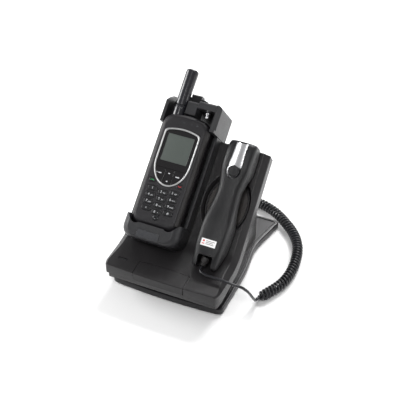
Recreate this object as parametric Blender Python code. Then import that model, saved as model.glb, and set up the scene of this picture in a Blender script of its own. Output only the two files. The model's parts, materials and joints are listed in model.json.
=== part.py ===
"""Rugged satellite phone in a docking cradle on a desk stand, with a corded privacy handset.

Every sub-part is one closed solid in its own object.  Sizes below are in millimetres and
MM turns them into Blender's metres.  The stand frame has X across, Y to the rear and Z up.
The panel frame lies on the reclined panel: X across, Y up the panel and Z out of it.
The phone frame and the handset frame are shifted copies of the panel frame.
"""
import math

import bmesh
import bpy
from mathutils import Matrix, Vector

MM = 0.001
GAP = 0.3                      # clearance between touching pieces

DEPTH_MIDDLE = 84.0            # the object's middle, behind the base plate's front edge

# Stand
BASE_WIDTH = 144.0             # base plate at its front
BASE_REAR_WIDTH = 152.0        # base plate where it flares at the rear
BASE_DEPTH = 176.0
BASE_HEIGHT = 10.0
FOOT_HEIGHT = 1.5
SHELL_FRONT = -16.0            # front face of the palm rest, ahead of the base plate
CREASE_HEIGHT = 44.9           # top of the palm rest's front face
PALM_SLOPE = math.radians(6.3)
RECLINE = math.radians(40.0)   # panel's rise from the horizontal
BEND_Y = 42.6
BEND_Z = 51.4
PANEL_LENGTH = 133.0
PANEL_HALF_WIDTH = 73.0
TOP_SHELL = 11.0               # thickness of the upper shell on the panel
SLAB = 24.0                    # upper and rear shells together
FRONT_SHELL = 14.0             # thickness of the upper shell at the palm rest's front
FRONT_BOW = 2.4                # how far the front face bows forward in the middle
WELL_DEPTH = 8.5
DOOR_LEFT = -34.0
DOOR_RIGHT = 30.0
DOOR_LIP = 34.2
DOOR_THICKNESS = 2.0
PEDESTAL_BACK = 136.0

# Phone, measured from the centre of its display
PHONE_HALF_WIDTH = 30.0
PHONE_TOP = 43.0
PHONE_BOTTOM = -97.0
PHONE_PLACE = (-28.9, 103.7, 37.0)   # display centre in the panel frame
LCD_SIZE = 33.4
ANTENNA_X = -18.2
ANTENNA_DEPTH = -13.5
ANTENNA_TIP = 100.5
KEY_PITCH = (14.0, 8.2)
GRIP_LOW = -88.0
GRIP_HIGH = 30.0

# Dock
DOCK_HALF_WIDTH = 36.5
DOCK_TOP = 63.0
CUP_BOTTOM = -114.0
DOCK_BACK = -36.7              # 0.3 mm above the panel
HEAD_BACK = -55.0
DOCK_FLOOR = -28.2             # the cradle's floor behind the phone
RAIL_FRONT = -18.0
RAIL_THICKNESS = 4.0
TUB_BOTTOM = -86.0
LIP_TOP = -95.5

# Handset, measured from the middle of its length
HANDSET_PLACE = (42.5, 58.0, 0.0)

# Cord
LEAD_DIAMETER = 3.8
COIL_DIAMETER = 13.5


# ---------------------------------------------------------------- helpers

def clear_scene():
    for obj in list(bpy.data.objects):
        bpy.data.objects.remove(obj, do_unlink=True)


def make_material(name, colour, roughness, metallic=0.0):
    material = bpy.data.materials.new(name)
    material.use_nodes = True
    shader = material.node_tree.nodes["Principled BSDF"]
    shader.inputs["Base Color"].default_value = (*colour, 1.0)
    shader.inputs["Roughness"].default_value = roughness
    shader.inputs["Metallic"].default_value = metallic
    return material


def make_frame(name, parent=None, place=(0, 0, 0), turn=0.0):
    """An empty at a place in its parent's frame, turned about X."""
    frame = bpy.data.objects.new(name, None)
    bpy.context.scene.collection.objects.link(frame)
    frame.parent = parent
    frame.location = Vector(place) * MM
    frame.rotation_euler = (turn, 0, 0)
    return frame


def make_object(name, points, faces, material, frame, origin=(0, 0, 0)):
    """A mesh object from points in millimetres in a frame; origin is its own pivot there."""
    mesh = bpy.data.meshes.new(name)
    pivot = Vector(origin)
    mesh.from_pydata([(Vector(p) - pivot) * MM for p in points], [], faces)
    work = bmesh.new()
    work.from_mesh(mesh)
    bmesh.ops.triangulate(work, faces=[face for face in work.faces if len(face.verts) > 4])
    bmesh.ops.recalc_face_normals(work, faces=work.faces)
    work.to_mesh(mesh)
    work.free()
    obj = bpy.data.objects.new(name, mesh)
    obj.parent = frame
    obj.location = pivot * MM
    bpy.context.scene.collection.objects.link(obj)
    if material:
        mesh.materials.append(material)
    mesh.shade_smooth()
    mesh.set_sharp_from_angle(angle=math.radians(35))
    return obj


def signed_area(outline):
    total = 0.0
    for (x0, y0), (x1, y1) in zip(outline, outline[1:] + outline[:1]):
        total += x0 * y1 - x1 * y0
    return total / 2


def rounded(corners, steps=4):
    """A counter-clockwise outline from (x, y, radius) corners."""
    points = []
    count = len(corners)
    for i, (x, y, radius) in enumerate(corners):
        here = Vector((x, y))
        before = Vector(corners[i - 1][:2]) - here
        after = Vector(corners[(i + 1) % count][:2]) - here
        if radius <= 0:
            points.append((x, y))
            continue
        half = before.angle(after) / 2
        reach = radius / math.tan(half)
        middle = here + (before.normalized() + after.normalized()).normalized() * radius / math.sin(half)
        start = here + before.normalized() * reach - middle
        end = here + after.normalized() * reach - middle
        sweep = start.angle_signed(end)
        for k in range(steps + 1):
            turned = start.copy()
            turned.rotate(Matrix.Rotation(-sweep * k / steps, 2))
            points.append(tuple(middle + turned))
    return points if signed_area(points) > 0 else points[::-1]


def rectangle(x0, y0, x1, y1, radius=0.0, steps=4):
    return rounded([(x0, y0, radius), (x1, y0, radius), (x1, y1, radius), (x0, y1, radius)], steps)


def circle(x, y, radius, steps=20):
    turns = [2 * math.pi * k / steps for k in range(steps)]
    return [(x + radius * math.cos(a), y + radius * math.sin(a)) for a in turns]


def shrink(outline, distance):
    """The outline moved inwards by a distance, corner by corner."""
    moved = []
    count = len(outline)
    for i in range(count):
        a, b, c = (Vector(outline[(i + k) % count]) for k in (-1, 0, 1))
        first = (b - a).normalized()
        second = (c - b).normalized()
        normals = Vector((-first.y, first.x)), Vector((-second.y, second.x))
        corner = (normals[0] + normals[1]) / (1 + normals[0].dot(normals[1]))
        moved.append(tuple(b + corner * distance))
    return moved


def loft(name, rings, material, frame, origin=(0, 0, 0)):
    """A closed solid through rings of the same number of points, with a cap at each end."""
    count = len(rings[0])
    points = [p for ring in rings for p in ring]
    faces = [list(range(count))[::-1], [len(points) - count + k for k in range(count)]]
    for level in range(len(rings) - 1):
        low = level * count
        for k in range(count):
            after = (k + 1) % count
            faces.append([low + k, low + after, low + count + after, low + count + k])
    return make_object(name, points, faces, material, frame, origin)


def slab(name, outline, low, high, material, frame, edge_low=0.0, edge_high=0.0, origin=(0, 0, 0)):
    """An outline in X and Y raised from low to high, with rounded lower and upper edges."""
    turns = (0, math.pi / 4, math.pi / 2)
    levels = [(low + edge_low * (1 - math.sin(a)), edge_low * (1 - math.cos(a))) for a in turns[::-1]]
    levels += [(high - edge_high * (1 - math.sin(a)), edge_high * (1 - math.cos(a))) for a in turns]
    if not edge_low:
        levels = [(low, 0.0)] + levels[3:]
    if not edge_high:
        levels = levels[:-3] + [(high, 0.0)]
    rings = [[(x, y, z) for x, y in shrink(outline, inset)] for z, inset in levels]
    return loft(name, rings, material, frame, origin)


def side_slab(name, outline, low, high, material, frame, origin=(0, 0, 0)):
    """An outline in Y and Z drawn out along X from low to high."""
    rings = [[(x, y, z) for y, z in outline] for x in (low, high)]
    return loft(name, rings, material, frame, origin)


def rod(name, start, end, radii, material, frame, steps=16, origin=(0, 0, 0)):
    """A turned piece between two points; radii are (share of length, radius) pairs."""
    start, end = Vector(start), Vector(end)
    turn = (end - start).to_track_quat('Z', 'Y')
    rings = []
    for share, radius in radii:
        middle = start.lerp(end, share)
        rings.append([tuple(middle + turn @ Vector((x, y, 0))) for x, y in circle(0, 0, radius, steps)])
    return loft(name, rings, material, frame, origin)


def box(name, low, high, material, frame, origin=(0, 0, 0)):
    return slab(name, rectangle(low[0], low[1], high[0], high[1]), low[2], high[2],
                material, frame, origin=origin)


def combine(obj, operation, *tools):
    """Boolean tools on an object; the tools are guides and aren't built."""
    for tool in tools:
        tool.hide_render = True
        tool.display_type = 'WIRE'
        modifier = obj.modifiers.new(tool.name, 'BOOLEAN')
        modifier.operation = operation
        modifier.object = tool
    return obj


def cut(obj, *tools):
    return combine(obj, 'DIFFERENCE', *tools)


def join(obj, *tools):
    return combine(obj, 'UNION', *tools)


# ---------------------------------------------------------------- outlines

def phone_outline(inset=0.0, steps=5):
    """The phone's front, with an arched top and rounded lower corners."""
    half = PHONE_HALF_WIDTH - inset
    low = PHONE_BOTTOM + inset
    right = [(half, 28.0), (half - 0.6, 33.0 - inset), (half - 3.5, 37.2 - inset)]
    arch = []
    for k in range(9):
        x = (half - 7.5) * (1 - k / 4)
        arch.append((x, PHONE_TOP - inset - 5.0 * (x / PHONE_HALF_WIDTH) ** 2))
    left = [(-x, y) for x, y in reversed(right)]
    corners = rounded([(-half, low, 11), (half, low, 11), (half, 28, 0), (-half, 28, 0)], steps)
    lower = [p for p in corners if p[1] < 27.9]
    return lower + right + arch + left


def ring_outline(inset=0.0):
    """The shield-shaped ring round the display and the navigation keys."""
    half = 22.6 - inset
    top = 21.0 - inset
    bottom = -46.2 + inset
    points = []
    for k in range(9):
        x = (half - 3.0) * (1 - k / 4)
        points.append((x, top + 4.2 * (1 - (x / 22.6) ** 2)))
    points += [(-half + 0.9, top - 0.6), (-half, top - 2.6), (-half, -8.0)]
    for k in range(1, 12):
        a = math.pi + math.pi * k / 12
        points.append((half * math.cos(a), -16.0 + (bottom + 16.0) * -math.sin(a)))
    points += [(half, -8.0), (half, top - 2.6), (half - 0.9, top - 0.6)]
    return points


def base_outline(inset=0.0, steps=6):
    """The base plate: bowed front, waisted sides and a flared rear."""
    front = BASE_WIDTH / 2 - inset
    rear = BASE_REAR_WIDTH / 2 - inset
    right = []
    for k in range(1, 14):
        y = 8.0 + (BASE_DEPTH - 16.0) * k / 14
        waist = 6.5 * math.exp(-((y - 122.0) / 32.0) ** 2)
        flare = (BASE_REAR_WIDTH - BASE_WIDTH) / 2 * (y / BASE_DEPTH) ** 3
        right.append((front + flare - waist, y))
    left = [(-x, y) for x, y in reversed(right)]
    bow = [(x, inset - 3.4 * (1 - (x / front) ** 2)) for x in (front * t / 5 for t in range(-4, 5))]
    front_right = [(front - 6.0, inset - 0.3), (front - 1.6, inset + 1.8), (front, inset + 6.0)]
    front_left = [(-x, y) for x, y in reversed(front_right)]
    back = BASE_DEPTH - inset
    rear_right = [(rear, back - 4.0), (rear - 1.2, back - 1.2), (rear - 4.0, back)]
    rear_left = [(-x, y) for x, y in reversed(rear_right)]
    return front_left + bow + front_right + right + rear_right + rear_left + left


# ---------------------------------------------------------------- stand

def slab_line(depth=0.0, start=SHELL_FRONT):
    """The side line of the bent slab at a depth below its upper surface: (y, z, tilt) stations."""
    stations = []
    for y in (start, start + 1.2, -8.0, 10.0, 30.0):
        tilt = PALM_SLOPE * min(1.0, (y - SHELL_FRONT) / 26.0)
        stations.append((y, CREASE_HEIGHT + (y - SHELL_FRONT) * math.tan(PALM_SLOPE), tilt))
    reach = 11.0
    before = Vector((BEND_Y - reach * math.cos(PALM_SLOPE), BEND_Z - reach * math.sin(PALM_SLOPE)))
    corner = Vector((BEND_Y, BEND_Z))
    after = Vector((BEND_Y + reach * math.cos(RECLINE), BEND_Z + reach * math.sin(RECLINE)))
    for t in (0.2, 0.5, 0.8, 1.0):
        y, z = before * (1 - t) ** 2 + corner * 2 * t * (1 - t) + after * t ** 2
        stations.append((y, z, PALM_SLOPE + (RECLINE - PALM_SLOPE) * t))
    for v in (50.0, 92.0, PANEL_LENGTH - 1.2, PANEL_LENGTH):
        stations.append((BEND_Y + v * math.cos(RECLINE), BEND_Z + v * math.sin(RECLINE), RECLINE))
    return [(y + depth * math.sin(tilt), z - depth * math.cos(tilt), tilt) for y, z, tilt in stations]


def split_depth(y):
    """Depth of the line between the two shells: deeper in the palm rest than on the panel."""
    share = min(1.0, max(0.0, (y + 10.0) / 60.0))
    return FRONT_SHELL + (TOP_SHELL - FRONT_SHELL) * share


def slab_shell(name, upper, lower, inset, start, edge, material, frame):
    """One shell of the slab, between two depths that depend on the station."""
    rings = []
    stations = slab_line(0.0, start)
    for i, (y, z, tilt) in enumerate(stations):
        end = 1.0 if i in (0, len(stations) - 1) else 0.0
        share = min(1.0, max(0.0, (z - BEND_Z) / 85.0))
        half = PANEL_HALF_WIDTH - inset - 2.6 * share - end
        half -= 3.0 * max(0.0, 1.0 - (y - start) / 10.0) ** 2
        top, low = upper(y) + 0.6 * end, lower(y) - 0.6 * end
        side = [(half - 0.8, low), (half, low - 0.8), (half, top + 0.8 * edge),
                (half - 0.25 * edge, top + 0.35 * edge), (half - 0.6 * edge, top + 0.1 * edge),
                (half - edge, top)]
        crown = [((half - edge) * t / 3, top) for t in (2, 1, 0, -1, -2)]
        profile = side + crown + [(-x, d) for x, d in reversed(side)]
        bow = FRONT_BOW * max(0.0, 1.0 - (y - start) / 14.0)
        ring = []
        for x, depth in profile:
            forward = bow * (1 - (x / PANEL_HALF_WIDTH) ** 2)
            ring.append((x, y + depth * math.sin(tilt) - forward, z - depth * math.cos(tilt)))
        rings.append(ring)
    return loft(name, rings, material, frame)


def well_outline(inset=0.0):
    """The lens-shaped finger well behind the handset's waist, in the panel frame."""
    turns = [2 * math.pi * k / 28 for k in range(28)]
    return [(37.5 + (30.0 - inset) * math.cos(a), 62.0 + (39.0 - inset) * math.sin(a)) for a in turns]


def door_shape(name, grow, reach, material, frame, origin=(0, 0, 0)):
    """The L-shaped front door: a plate in the palm rest with a lip down the front face.

    Its opening in the shell is the same shape, larger by grow and reaching out past the faces.
    """
    rings = []
    rise = math.tan(PALM_SLOPE)
    for x in (DOOR_LEFT - grow, DOOR_LEFT + 14, -2.0, DOOR_RIGHT - 14, DOOR_RIGHT + grow):
        face = SHELL_FRONT - FRONT_BOW * (1 - (x / PANEL_HALF_WIDTH) ** 2)
        inner = face + DOOR_THICKNESS + grow
        back = 3.2 - 2.0 * ((x + 2.0) / 32.0) ** 2 + grow
        top = CREASE_HEIGHT + (back - face) * rise
        ceiling = CREASE_HEIGHT - DOOR_THICKNESS - grow
        ring = [(face - reach, DOOR_LIP - grow), (inner, DOOR_LIP - grow), (inner, ceiling),
                (back, ceiling + (back - inner) * rise), (back, top - 0.1 + reach),
                (face - reach + 0.8, CREASE_HEIGHT + reach), (face - reach, CREASE_HEIGHT + reach - 0.8)]
        rings.append([(x, y, z) for y, z in ring])
    return loft(name, rings, material, frame, origin)


def make_stand(stand, panel, paint):
    base = slab("base_plate", base_outline(), FOOT_HEIGHT, BASE_HEIGHT, paint["base"], stand, 1.2, 1.2)
    cut(base, slab("base_room", rectangle(-58, 16, 58, 156, 8), 0, 5, None, stand))
    for name, y in (("rubber_foot_front", 9), ("rubber_foot_rear", 165)):
        slab(name, rectangle(-56, y - 4, 56, y + 4, 4), 0, FOOT_HEIGHT - GAP, paint["rubber"], stand)

    under = [(y, z) for y, z, _ in slab_line(SLAB + 1.5) if 12 < y < PEDESTAL_BACK]
    back_rise = (PEDESTAL_BACK - under[-1][0]) * math.tan(RECLINE)
    floor = BASE_HEIGHT + GAP
    outline = [(12, floor), (PEDESTAL_BACK, floor), (PEDESTAL_BACK, under[-1][1] + back_rise)] + under[::-1]
    pedestal = side_slab("pedestal", outline + [(12, under[0][1] - 0.3)], -60, 60, paint["shell"], stand)
    room = [(y, z - 3.0) for y, z in under if 15 < y < PEDESTAL_BACK - 3]
    room_outline = [(15, 5), (PEDESTAL_BACK - 3, 5), (PEDESTAL_BACK - 3, room[-1][1])] + room[::-1]
    cut(pedestal, side_slab("pedestal_room", room_outline, -57, 57, None, stand),
        box("socket_hole", (-8.3, 125, 19.7), (8.3, 145, 34.3), None, stand),
        rod("inlet_hole", (30, 125, 27), (30, 145, 27), [(0, 6.3), (1, 6.3)], None, stand))
    socket = box("handset_socket", (-8, 120, 20), (8, PEDESTAL_BACK + 0.8, 34), paint["gloss"], stand)
    cut(socket, box("socket_mouth", (-5.2, 126, 22.3), (5.2, 145, 31.7), None, stand))
    inlet = rod("power_inlet", (30, 124, 27), (30, PEDESTAL_BACK + 0.8, 27), [(0, 6), (1, 6)],
                paint["gloss"], stand)
    cut(inlet, rod("inlet_mouth", (30, 127, 27), (30, 145, 27), [(0, 3.2), (1, 3.2)], None, stand, 12))

    top = slab_shell("stand_top_shell", lambda y: 0.0, split_depth, 0.0, SHELL_FRONT, 7.0,
                     paint["shell"], stand)
    rear = slab_shell("stand_rear_shell", lambda y: split_depth(y) + GAP, lambda y: SLAB, 1.2,
                      SHELL_FRONT + 4.0, 0.8, paint["shell"], stand)
    well = loft("well_room", [[(x, y, z) for x, y in well_outline(inset)]
                              for z, inset in ((-WELL_DEPTH, 3.0), (0.9, 0.3), (6.0, 0.0))], None, panel)
    palm_top = [(y, z) for y, z, _ in slab_line(3.0) if -8 < y < 31]
    palm_low = [(y, z) for y, z, _ in slab_line(16.0) if -8 < y < 31]
    cut(top, well, door_shape("door_room", GAP, 1.5, None, stand),
        slab("speaker_opening", circle(45, 68, 17, 20), -TOP_SHELL - 2, -2, None, panel),
        box("mic_slot", (-60, -2.4, 44.5), (-49, -0.4, 50), None, stand),
        side_slab("palm_room", palm_low + palm_top[::-1], -62, 62, None, stand),
        box("panel_room", (-62, 14, -14), (3, 128, -3), None, panel))
    rear_floor = [(y, z) for y, z, _ in slab_line(SLAB - 2.5, SHELL_FRONT + 4.0)]
    rear_open = [(y, z) for y, z, _ in slab_line(6.0, SHELL_FRONT + 4.0)]
    cut(rear, side_slab("rear_room", rear_floor[1:-1] + rear_open[1:-1][::-1], -68, 68, None, stand))
    door_shape("front_door", 0.0, 0.0, paint["shell"], stand, (0, SHELL_FRONT - FRONT_BOW, DOOR_LIP))

    slab("speaker_grille", [(x, y) for x, y in well_outline(3.4)], -WELL_DEPTH + GAP,
         -WELL_DEPTH + GAP + 1.2, paint["grille"], panel)
    rod("speaker", (45, 68, -11.6), (45, 68, -20.5), [(0, 16), (0.3, 16), (0.31, 11), (1, 8)],
        paint["gloss"], panel, 20)
    box("main_board", (-64, 18, -19.5), (20, 122, -17.9), paint["board"], panel)


# ---------------------------------------------------------------- dock

def cup_ring(z, half, bottom, radius):
    corners = [(-half, bottom, radius), (half, bottom, radius), (half, TUB_BOTTOM - GAP, 0),
               (-half, TUB_BOTTOM - GAP, 0)]
    return [(x, y, z) for x, y in rounded(corners, 5)]


def make_dock(phone, stand, paint):
    tub = slab("dock_cradle", rectangle(-DOCK_HALF_WIDTH, TUB_BOTTOM, DOCK_HALF_WIDTH, 29.7),
               DOCK_BACK, RAIL_FRONT, paint["dock"], phone)
    room = DOCK_HALF_WIDTH - RAIL_THICKNESS
    cut(tub, box("tub_room", (-room, TUB_BOTTOM - 5, DOCK_FLOOR), (room, 40, 5), None, phone))

    cup_rings = [cup_ring(DOCK_BACK, 36.5, CUP_BOTTOM, 13), cup_ring(-8, 36.5, CUP_BOTTOM, 13),
                 cup_ring(-3.5, 35.3, CUP_BOTTOM, 13), cup_ring(0, 32.5, CUP_BOTTOM, 13),
                 cup_ring(1.8, 30.2, CUP_BOTTOM + 0.5, 12), cup_ring(3, 27.8, CUP_BOTTOM + 2, 10)]
    cup = loft("dock_cup", cup_rings, paint["dock"], phone)
    above = [(y, z) for y, z, _ in slab_line(-0.6)]
    stand_room = side_slab("stand_room", above + [(160, -20), (-16, -20)], -90, 60, None, stand)
    lip = [(40, -80), (-40, -80), (-40, -85.5), (-31.5, -88), (-28, -93), (-23, -97.2), (-18.5, -97),
           (-16, LIP_TOP), (15, LIP_TOP), (17.5, -97), (22, -97.2), (27, -93), (31.5, -88), (40, -85.5)]
    cut(cup, slab("cup_room", phone_outline(-0.8), DOCK_FLOOR, 0.7, None, phone),
        slab("lip_room", lip, -9, 8, None, phone), stand_room,
        box("contact_room", (-7.3, -106, -19), (7.3, -90, -9), None, phone),
        box("plate_room", (-14.3, -112.3, 2.4), (14.3, -102.9, 8), None, phone))
    slab("cup_plate", rectangle(-14, -112, 14, -103.2, 0.8, 2), 2.7, 3.4, paint["plate"], phone)
    box("charge_contacts", (-7, -105.5, -18.7), (7, -98.1, -9.3), paint["gold"], phone)

    head = box("dock_head", (-DOCK_HALF_WIDTH, 30, HEAD_BACK), (DOCK_HALF_WIDTH, DOCK_TOP, -34),
               paint["dock"], phone)
    ear_side = [(30, -36), (67, -36), (67, -27), (62, -16), (57, -8), (30, -8)]
    wall_side = [(30, -36), (DOCK_TOP, -36), (DOCK_TOP, 0.4), (61.4, 2), (30, 2)]
    brow_side = [(54, -36), (DOCK_TOP, -36), (DOCK_TOP, 0.4), (61.4, 2), (54, 2)]
    column_side = [(44.8, -36), (62.9, -36), (62.9, -10.6), (62.3, -10), (46.4, -10), (44.8, -15)]
    lug_side = [(58, -36), (66, -36), (70.5, -29), (70.5, -22.5), (69.5, -21.3), (58, -21.3)]
    join(head, side_slab("head_ear", ear_side, -36.5, -32.7, None, phone),
         side_slab("head_wall", wall_side, 30.8, 36.5, None, phone),
         side_slab("head_brow", brow_side, 8, 36.5, None, phone),
         side_slab("head_column", column_side, -10, 3.2, None, phone),
         side_slab("head_lug_left", lug_side, -13.4, -11.2, None, phone),
         side_slab("head_lug_right", lug_side, 2.4, 5.4, None, phone))
    chamfer = [(31.2, 3), (38, 3), (38, -5.5)]
    cut(head, loft("head_chamfer", [[(x, y, z) for x, z in chamfer] for y in (70, 33)], None, phone),
        rod("pin_bore", (-12.9, 67.0, -25.0), (4.9, 67.0, -25.0), [(0, 1.8), (1, 1.8)], None, phone, 12))
    pin_radii = [(0, 1.5), (1, 1.5)]
    rod("latch_pin", (-12.6, 67.0, -25.0), (4.6, 67.0, -25.0), pin_radii, paint["steel"], phone, 12)
    lever_side = [(64.6, -30), (72, -30.5), (73.6, -28.5), (73.6, -19.5), (72, -17.5), (64.4, -20.5)]
    lever = side_slab("latch_lever", lever_side, -10.8, 2, paint["dock"], phone, (0, 67.0, -25.0))
    bore_radii = [(0, 1.8), (1, 1.8)]
    cut(lever, rod("lever_bore", (-14, 67.0, -25.0), (4, 67.0, -25.0), bore_radii, None, phone, 12))
    plug_radii = [(0, 3.6), (0.35, 3.6), (0.36, 2.6), (1, 2.4)]
    rod("antenna_connector", (18, 53.7, -14), (18, 47, -14), plug_radii, paint["steel"], phone, 14)


# ---------------------------------------------------------------- phone

def grip_section(side):
    section = [(26.5, -10.0), (30.0, -10.0), (30.0, -6.0), (29.4, -3.6), (28.2, -1.8), (26.5, -0.9)]
    return [(side * x, z) for x, z in section]


def prism_y(name, section, low, high, material, frame):
    """A section in X and Z drawn out along Y."""
    return loft(name, [[(x, y, z) for x, z in section] for y in (low, high)], material, frame)


def key_shape(name, x, y, width, height, material, frame):
    outline = rectangle(x - width / 2, y - height / 2, x + width / 2, y + height / 2, 2.2, 2)
    return slab(name, outline, -4.0, 0.4, material, frame, 0.0, 0.5, (x, y, 0))


def many(name, outlines, low, high, frame):
    """Several separate prisms in one guide."""
    points, faces = [], []
    for outline in outlines:
        start, count = len(points), len(outline)
        points += [(x, y, z) for z in (low, high) for x, y in outline]
        faces += [[start + k for k in range(count)][::-1], [start + count + k for k in range(count)]]
        for k in range(count):
            after = (k + 1) % count
            faces.append([start + k, start + after, start + count + after, start + count + k])
    return make_object(name, points, faces, None, frame)


def key_table():
    """Every key below the ring: (name, x, y, width, height)."""
    keys = [("call_key", -17.6, -42.4, 8.6, 5.2), ("end_key", 17.6, -42.4, 8.6, 5.2)]
    names = ("1", "2", "3", "4", "5", "6", "7", "8", "9", "star", "0", "hash")
    for k, label in enumerate(names):
        row, column = divmod(k, 3)
        dip = 2.0 if column == 1 else 0.0
        x = (column - 1) * KEY_PITCH[0]
        y = -51.8 - row * KEY_PITCH[1] - dip
        keys.append(("key_" + label, x, y, 12.4, 6.2))
    return keys


def make_phone(phone, paint):
    levels = ((-11.0, 0.3), (-5.5, 0.0), (-3.6, 0.6), (-1.8, 1.8), (-0.6, 3.2), (0.0, 5.0))
    front = loft("phone_front_shell", [[(x, y, z) for x, y in phone_outline(inset)] for z, inset in levels],
                 paint["phone"], phone)
    key_holes = [rectangle(x - w / 2 - GAP, y - h / 2 - GAP, x + w / 2 + GAP, y + h / 2 + GAP, 2.4, 2)
                 for _, x, y, w, h in key_table()]
    grip_rooms = []
    for word, side in (("left", -1), ("right", 1)):
        section = [(side * 26.2, -10.3), (side * 33, -10.3), (side * 33, 1), (side * 26.2, 1)]
        grip_rooms.append(prism_y("grip_room_" + word, section, GRIP_LOW - GAP, GRIP_HIGH + GAP, None, phone))
    antenna_room = rod("antenna_room", (ANTENNA_X, 28, ANTENNA_DEPTH), (ANTENNA_X, 60, ANTENNA_DEPTH),
                       [(0, 7.7), (1, 7.7)], None, phone)
    cut(front, slab("front_room", rectangle(-24.5, -89, 24.5, 33, 5), -12, -3, None, phone),
        slab("ring_room", ring_outline(-GAP), -7, 3, None, phone),
        many("key_room", key_holes, -8, 3, phone),
        slab("mic_cap_room", circle(1.2, -84.9, 3.6, 16), -1.9, 3, None, phone),
        antenna_room, *grip_rooms)
    rear_levels = ((-27.0, 4.5), (-26.2, 2.6), (-24.0, 1.2), (-21.0, 0.6), (-11.3, 0.6))
    rear_rings = [[(x, y, z) for x, y in phone_outline(inset)] for z, inset in rear_levels]
    rear = loft("phone_rear_shell", rear_rings, paint["phone"], phone)
    rear_room = slab("rear_shell_room", rectangle(-26.5, -91, 26.5, 35, 8), -24.8, -9, None, phone)
    cut(rear, rear_room, antenna_room)
    box("phone_battery", (-24, -86, -24.4), (24, 5, -13.2), paint["battery"], phone)
    box("phone_board", (-23, -86, -10.6), (23.5, 30, -9.2), paint["board"], phone)
    for word, side in (("left", -1), ("right", 1)):
        prism_y("side_grip_" + word, grip_section(side), GRIP_LOW, GRIP_HIGH, paint["rubber"], phone)

    ring = slab("display_ring", ring_outline(), -2.0, 0.8, paint["chrome"], phone, 0.0, 0.5)
    cut(ring, slab("ring_hole", ring_outline(1.9), -5, 3, None, phone))
    def inside(name, low, high, depth, material):
        piece = slab(name, ring_outline(2.2), depth, 0.1, material, phone)
        return combine(piece, 'INTERSECT', box(name + "_limit", (*low, -9), (*high, 3), None, phone))
    window = inside("display_surround", (-30, -24.8), (30, 30), -2.4, paint["glass"])
    half = LCD_SIZE / 2
    cut(window, box("lcd_room", (-half - GAP, -half - GAP, -6), (half + GAP, half + GAP, 3), None, phone))
    box("lcd_panel", (-half, -half, -5.0), (half, half, -0.1), paint["lcd"], phone)
    inside("soft_key_left", (-30, -50), (-5.7, -25.2), -4.0, paint["glass"])
    inside("soft_key_right", (5.7, -50), (30, -25.2), -4.0, paint["glass"])
    inside("nav_key", (-5.3, -50), (5.3, -25.2), -4.0, paint["glass"])
    for name, x, y, width, height in key_table():
        key_shape(name, x, y, width, height, paint["key"], phone)
    cap_radii = [(0, 3.3), (0.7, 3.3), (1, 2.6)]
    rod("mic_cap", (1.2, -84.9, -1.6), (1.2, -84.9, 0.5), cap_radii, paint["gloss"], phone)

    along = [(ANTENNA_X, y, ANTENNA_DEPTH) for y in (41.0, 54.5, 54.8, ANTENNA_TIP, 8.0)]
    collar = rod("antenna_collar", along[0], along[1], [(0, 7.2), (0.9, 7.4), (1, 7.0)], paint["gloss"],
                 phone, 20)
    cut(collar, rod("collar_bore", (ANTENNA_X, 30, ANTENNA_DEPTH), (ANTENNA_X, 60, ANTENNA_DEPTH),
                    [(0, 2.7), (1, 2.7)], None, phone, 12))
    sleeve_radii = [(0, 7.0), (0.03, 7.5), (0.94, 7.9), (0.985, 7.1), (1, 5.0)]
    sleeve = rod("antenna", along[2], along[3], sleeve_radii, paint["gloss"], phone, 20)
    join(sleeve, rod("antenna_mast", along[4], (ANTENNA_X, 60, ANTENNA_DEPTH), [(0, 2.4), (1, 2.4)],
                     None, phone, 12))


# ---------------------------------------------------------------- handset

HANDSET_STATIONS = (
    # y, half width, back, underside, parting line
    (-77.0, 12.6, 25.5, 17.0, 20.0), (-75.5, 14.0, 27.0, 16.0, 19.5), (-68.0, 15.6, 29.5, 11.5, 17.6),
    (-58.0, 17.0, 31.0, 5.0, 16.0), (-50.0, 17.6, 31.6, 1.4, 15.0), (-30.0, 18.0, 31.6, 0.9, 15.0),
    (-18.0, 17.2, 30.6, 1.6, 15.0), (-8.0, 16.0, 29.4, 8.0, 15.4), (6.0, 14.6, 28.2, 10.5, 15.8),
    (18.0, 14.2, 28.0, 10.5, 15.8), (30.0, 15.6, 28.8, 8.0, 15.4), (40.0, 17.4, 30.0, 1.6, 15.0),
    (48.0, 18.0, 30.8, 0.9, 15.0), (62.0, 18.0, 30.6, 0.9, 15.0), (72.0, 17.4, 29.0, 1.6, 15.0),
    (75.8, 16.6, 27.0, 3.0, 15.0), (77.0, 15.0, 25.2, 5.0, 15.0))


def handset_shell(name, upper, material, frame):
    rings = []
    for y, half, back, under, parting in HANDSET_STATIONS:
        if upper:
            low, high = parting + GAP / 2, back
            rise = high - low
            side = [(half, low), (half, low + rise * 0.45), (half - 1.6, high - 3.2), (half - 4.6, high - 1.1)]
            arc = [(half * 0.45, high), (0.0, high + 0.5), (-half * 0.45, high)]
        else:
            low, high = parting - GAP / 2, under
            rise = low - high
            side = [(half, low), (half, low - rise * 0.6), (half - 1.2, high + rise * 0.12), (half - 3.6, high)]
            arc = [(half * 0.4, high), (0.0, high), (-half * 0.4, high)]
        ring = side + arc + [(-x, z) for x, z in reversed(side)]
        rings.append([(x, y, z) for x, z in (ring if upper else ring[::-1])])
    return loft(name, rings[::-1], material, frame)


def keyhole(inset=0.0):
    """The recess that runs from the handset's top end down to its round button."""
    width = 7.0 - inset
    turn = 9.2 - inset
    arc = []
    for k in range(15):
        a = math.radians(150 + 240 * k / 14)
        arc.append((turn * math.cos(a), 40.0 + turn * math.sin(a)))
    return arc + [(8.6 - inset, 56.0), (width, 82.0), (-width, 82.0), (-8.6 + inset, 56.0)]


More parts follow.
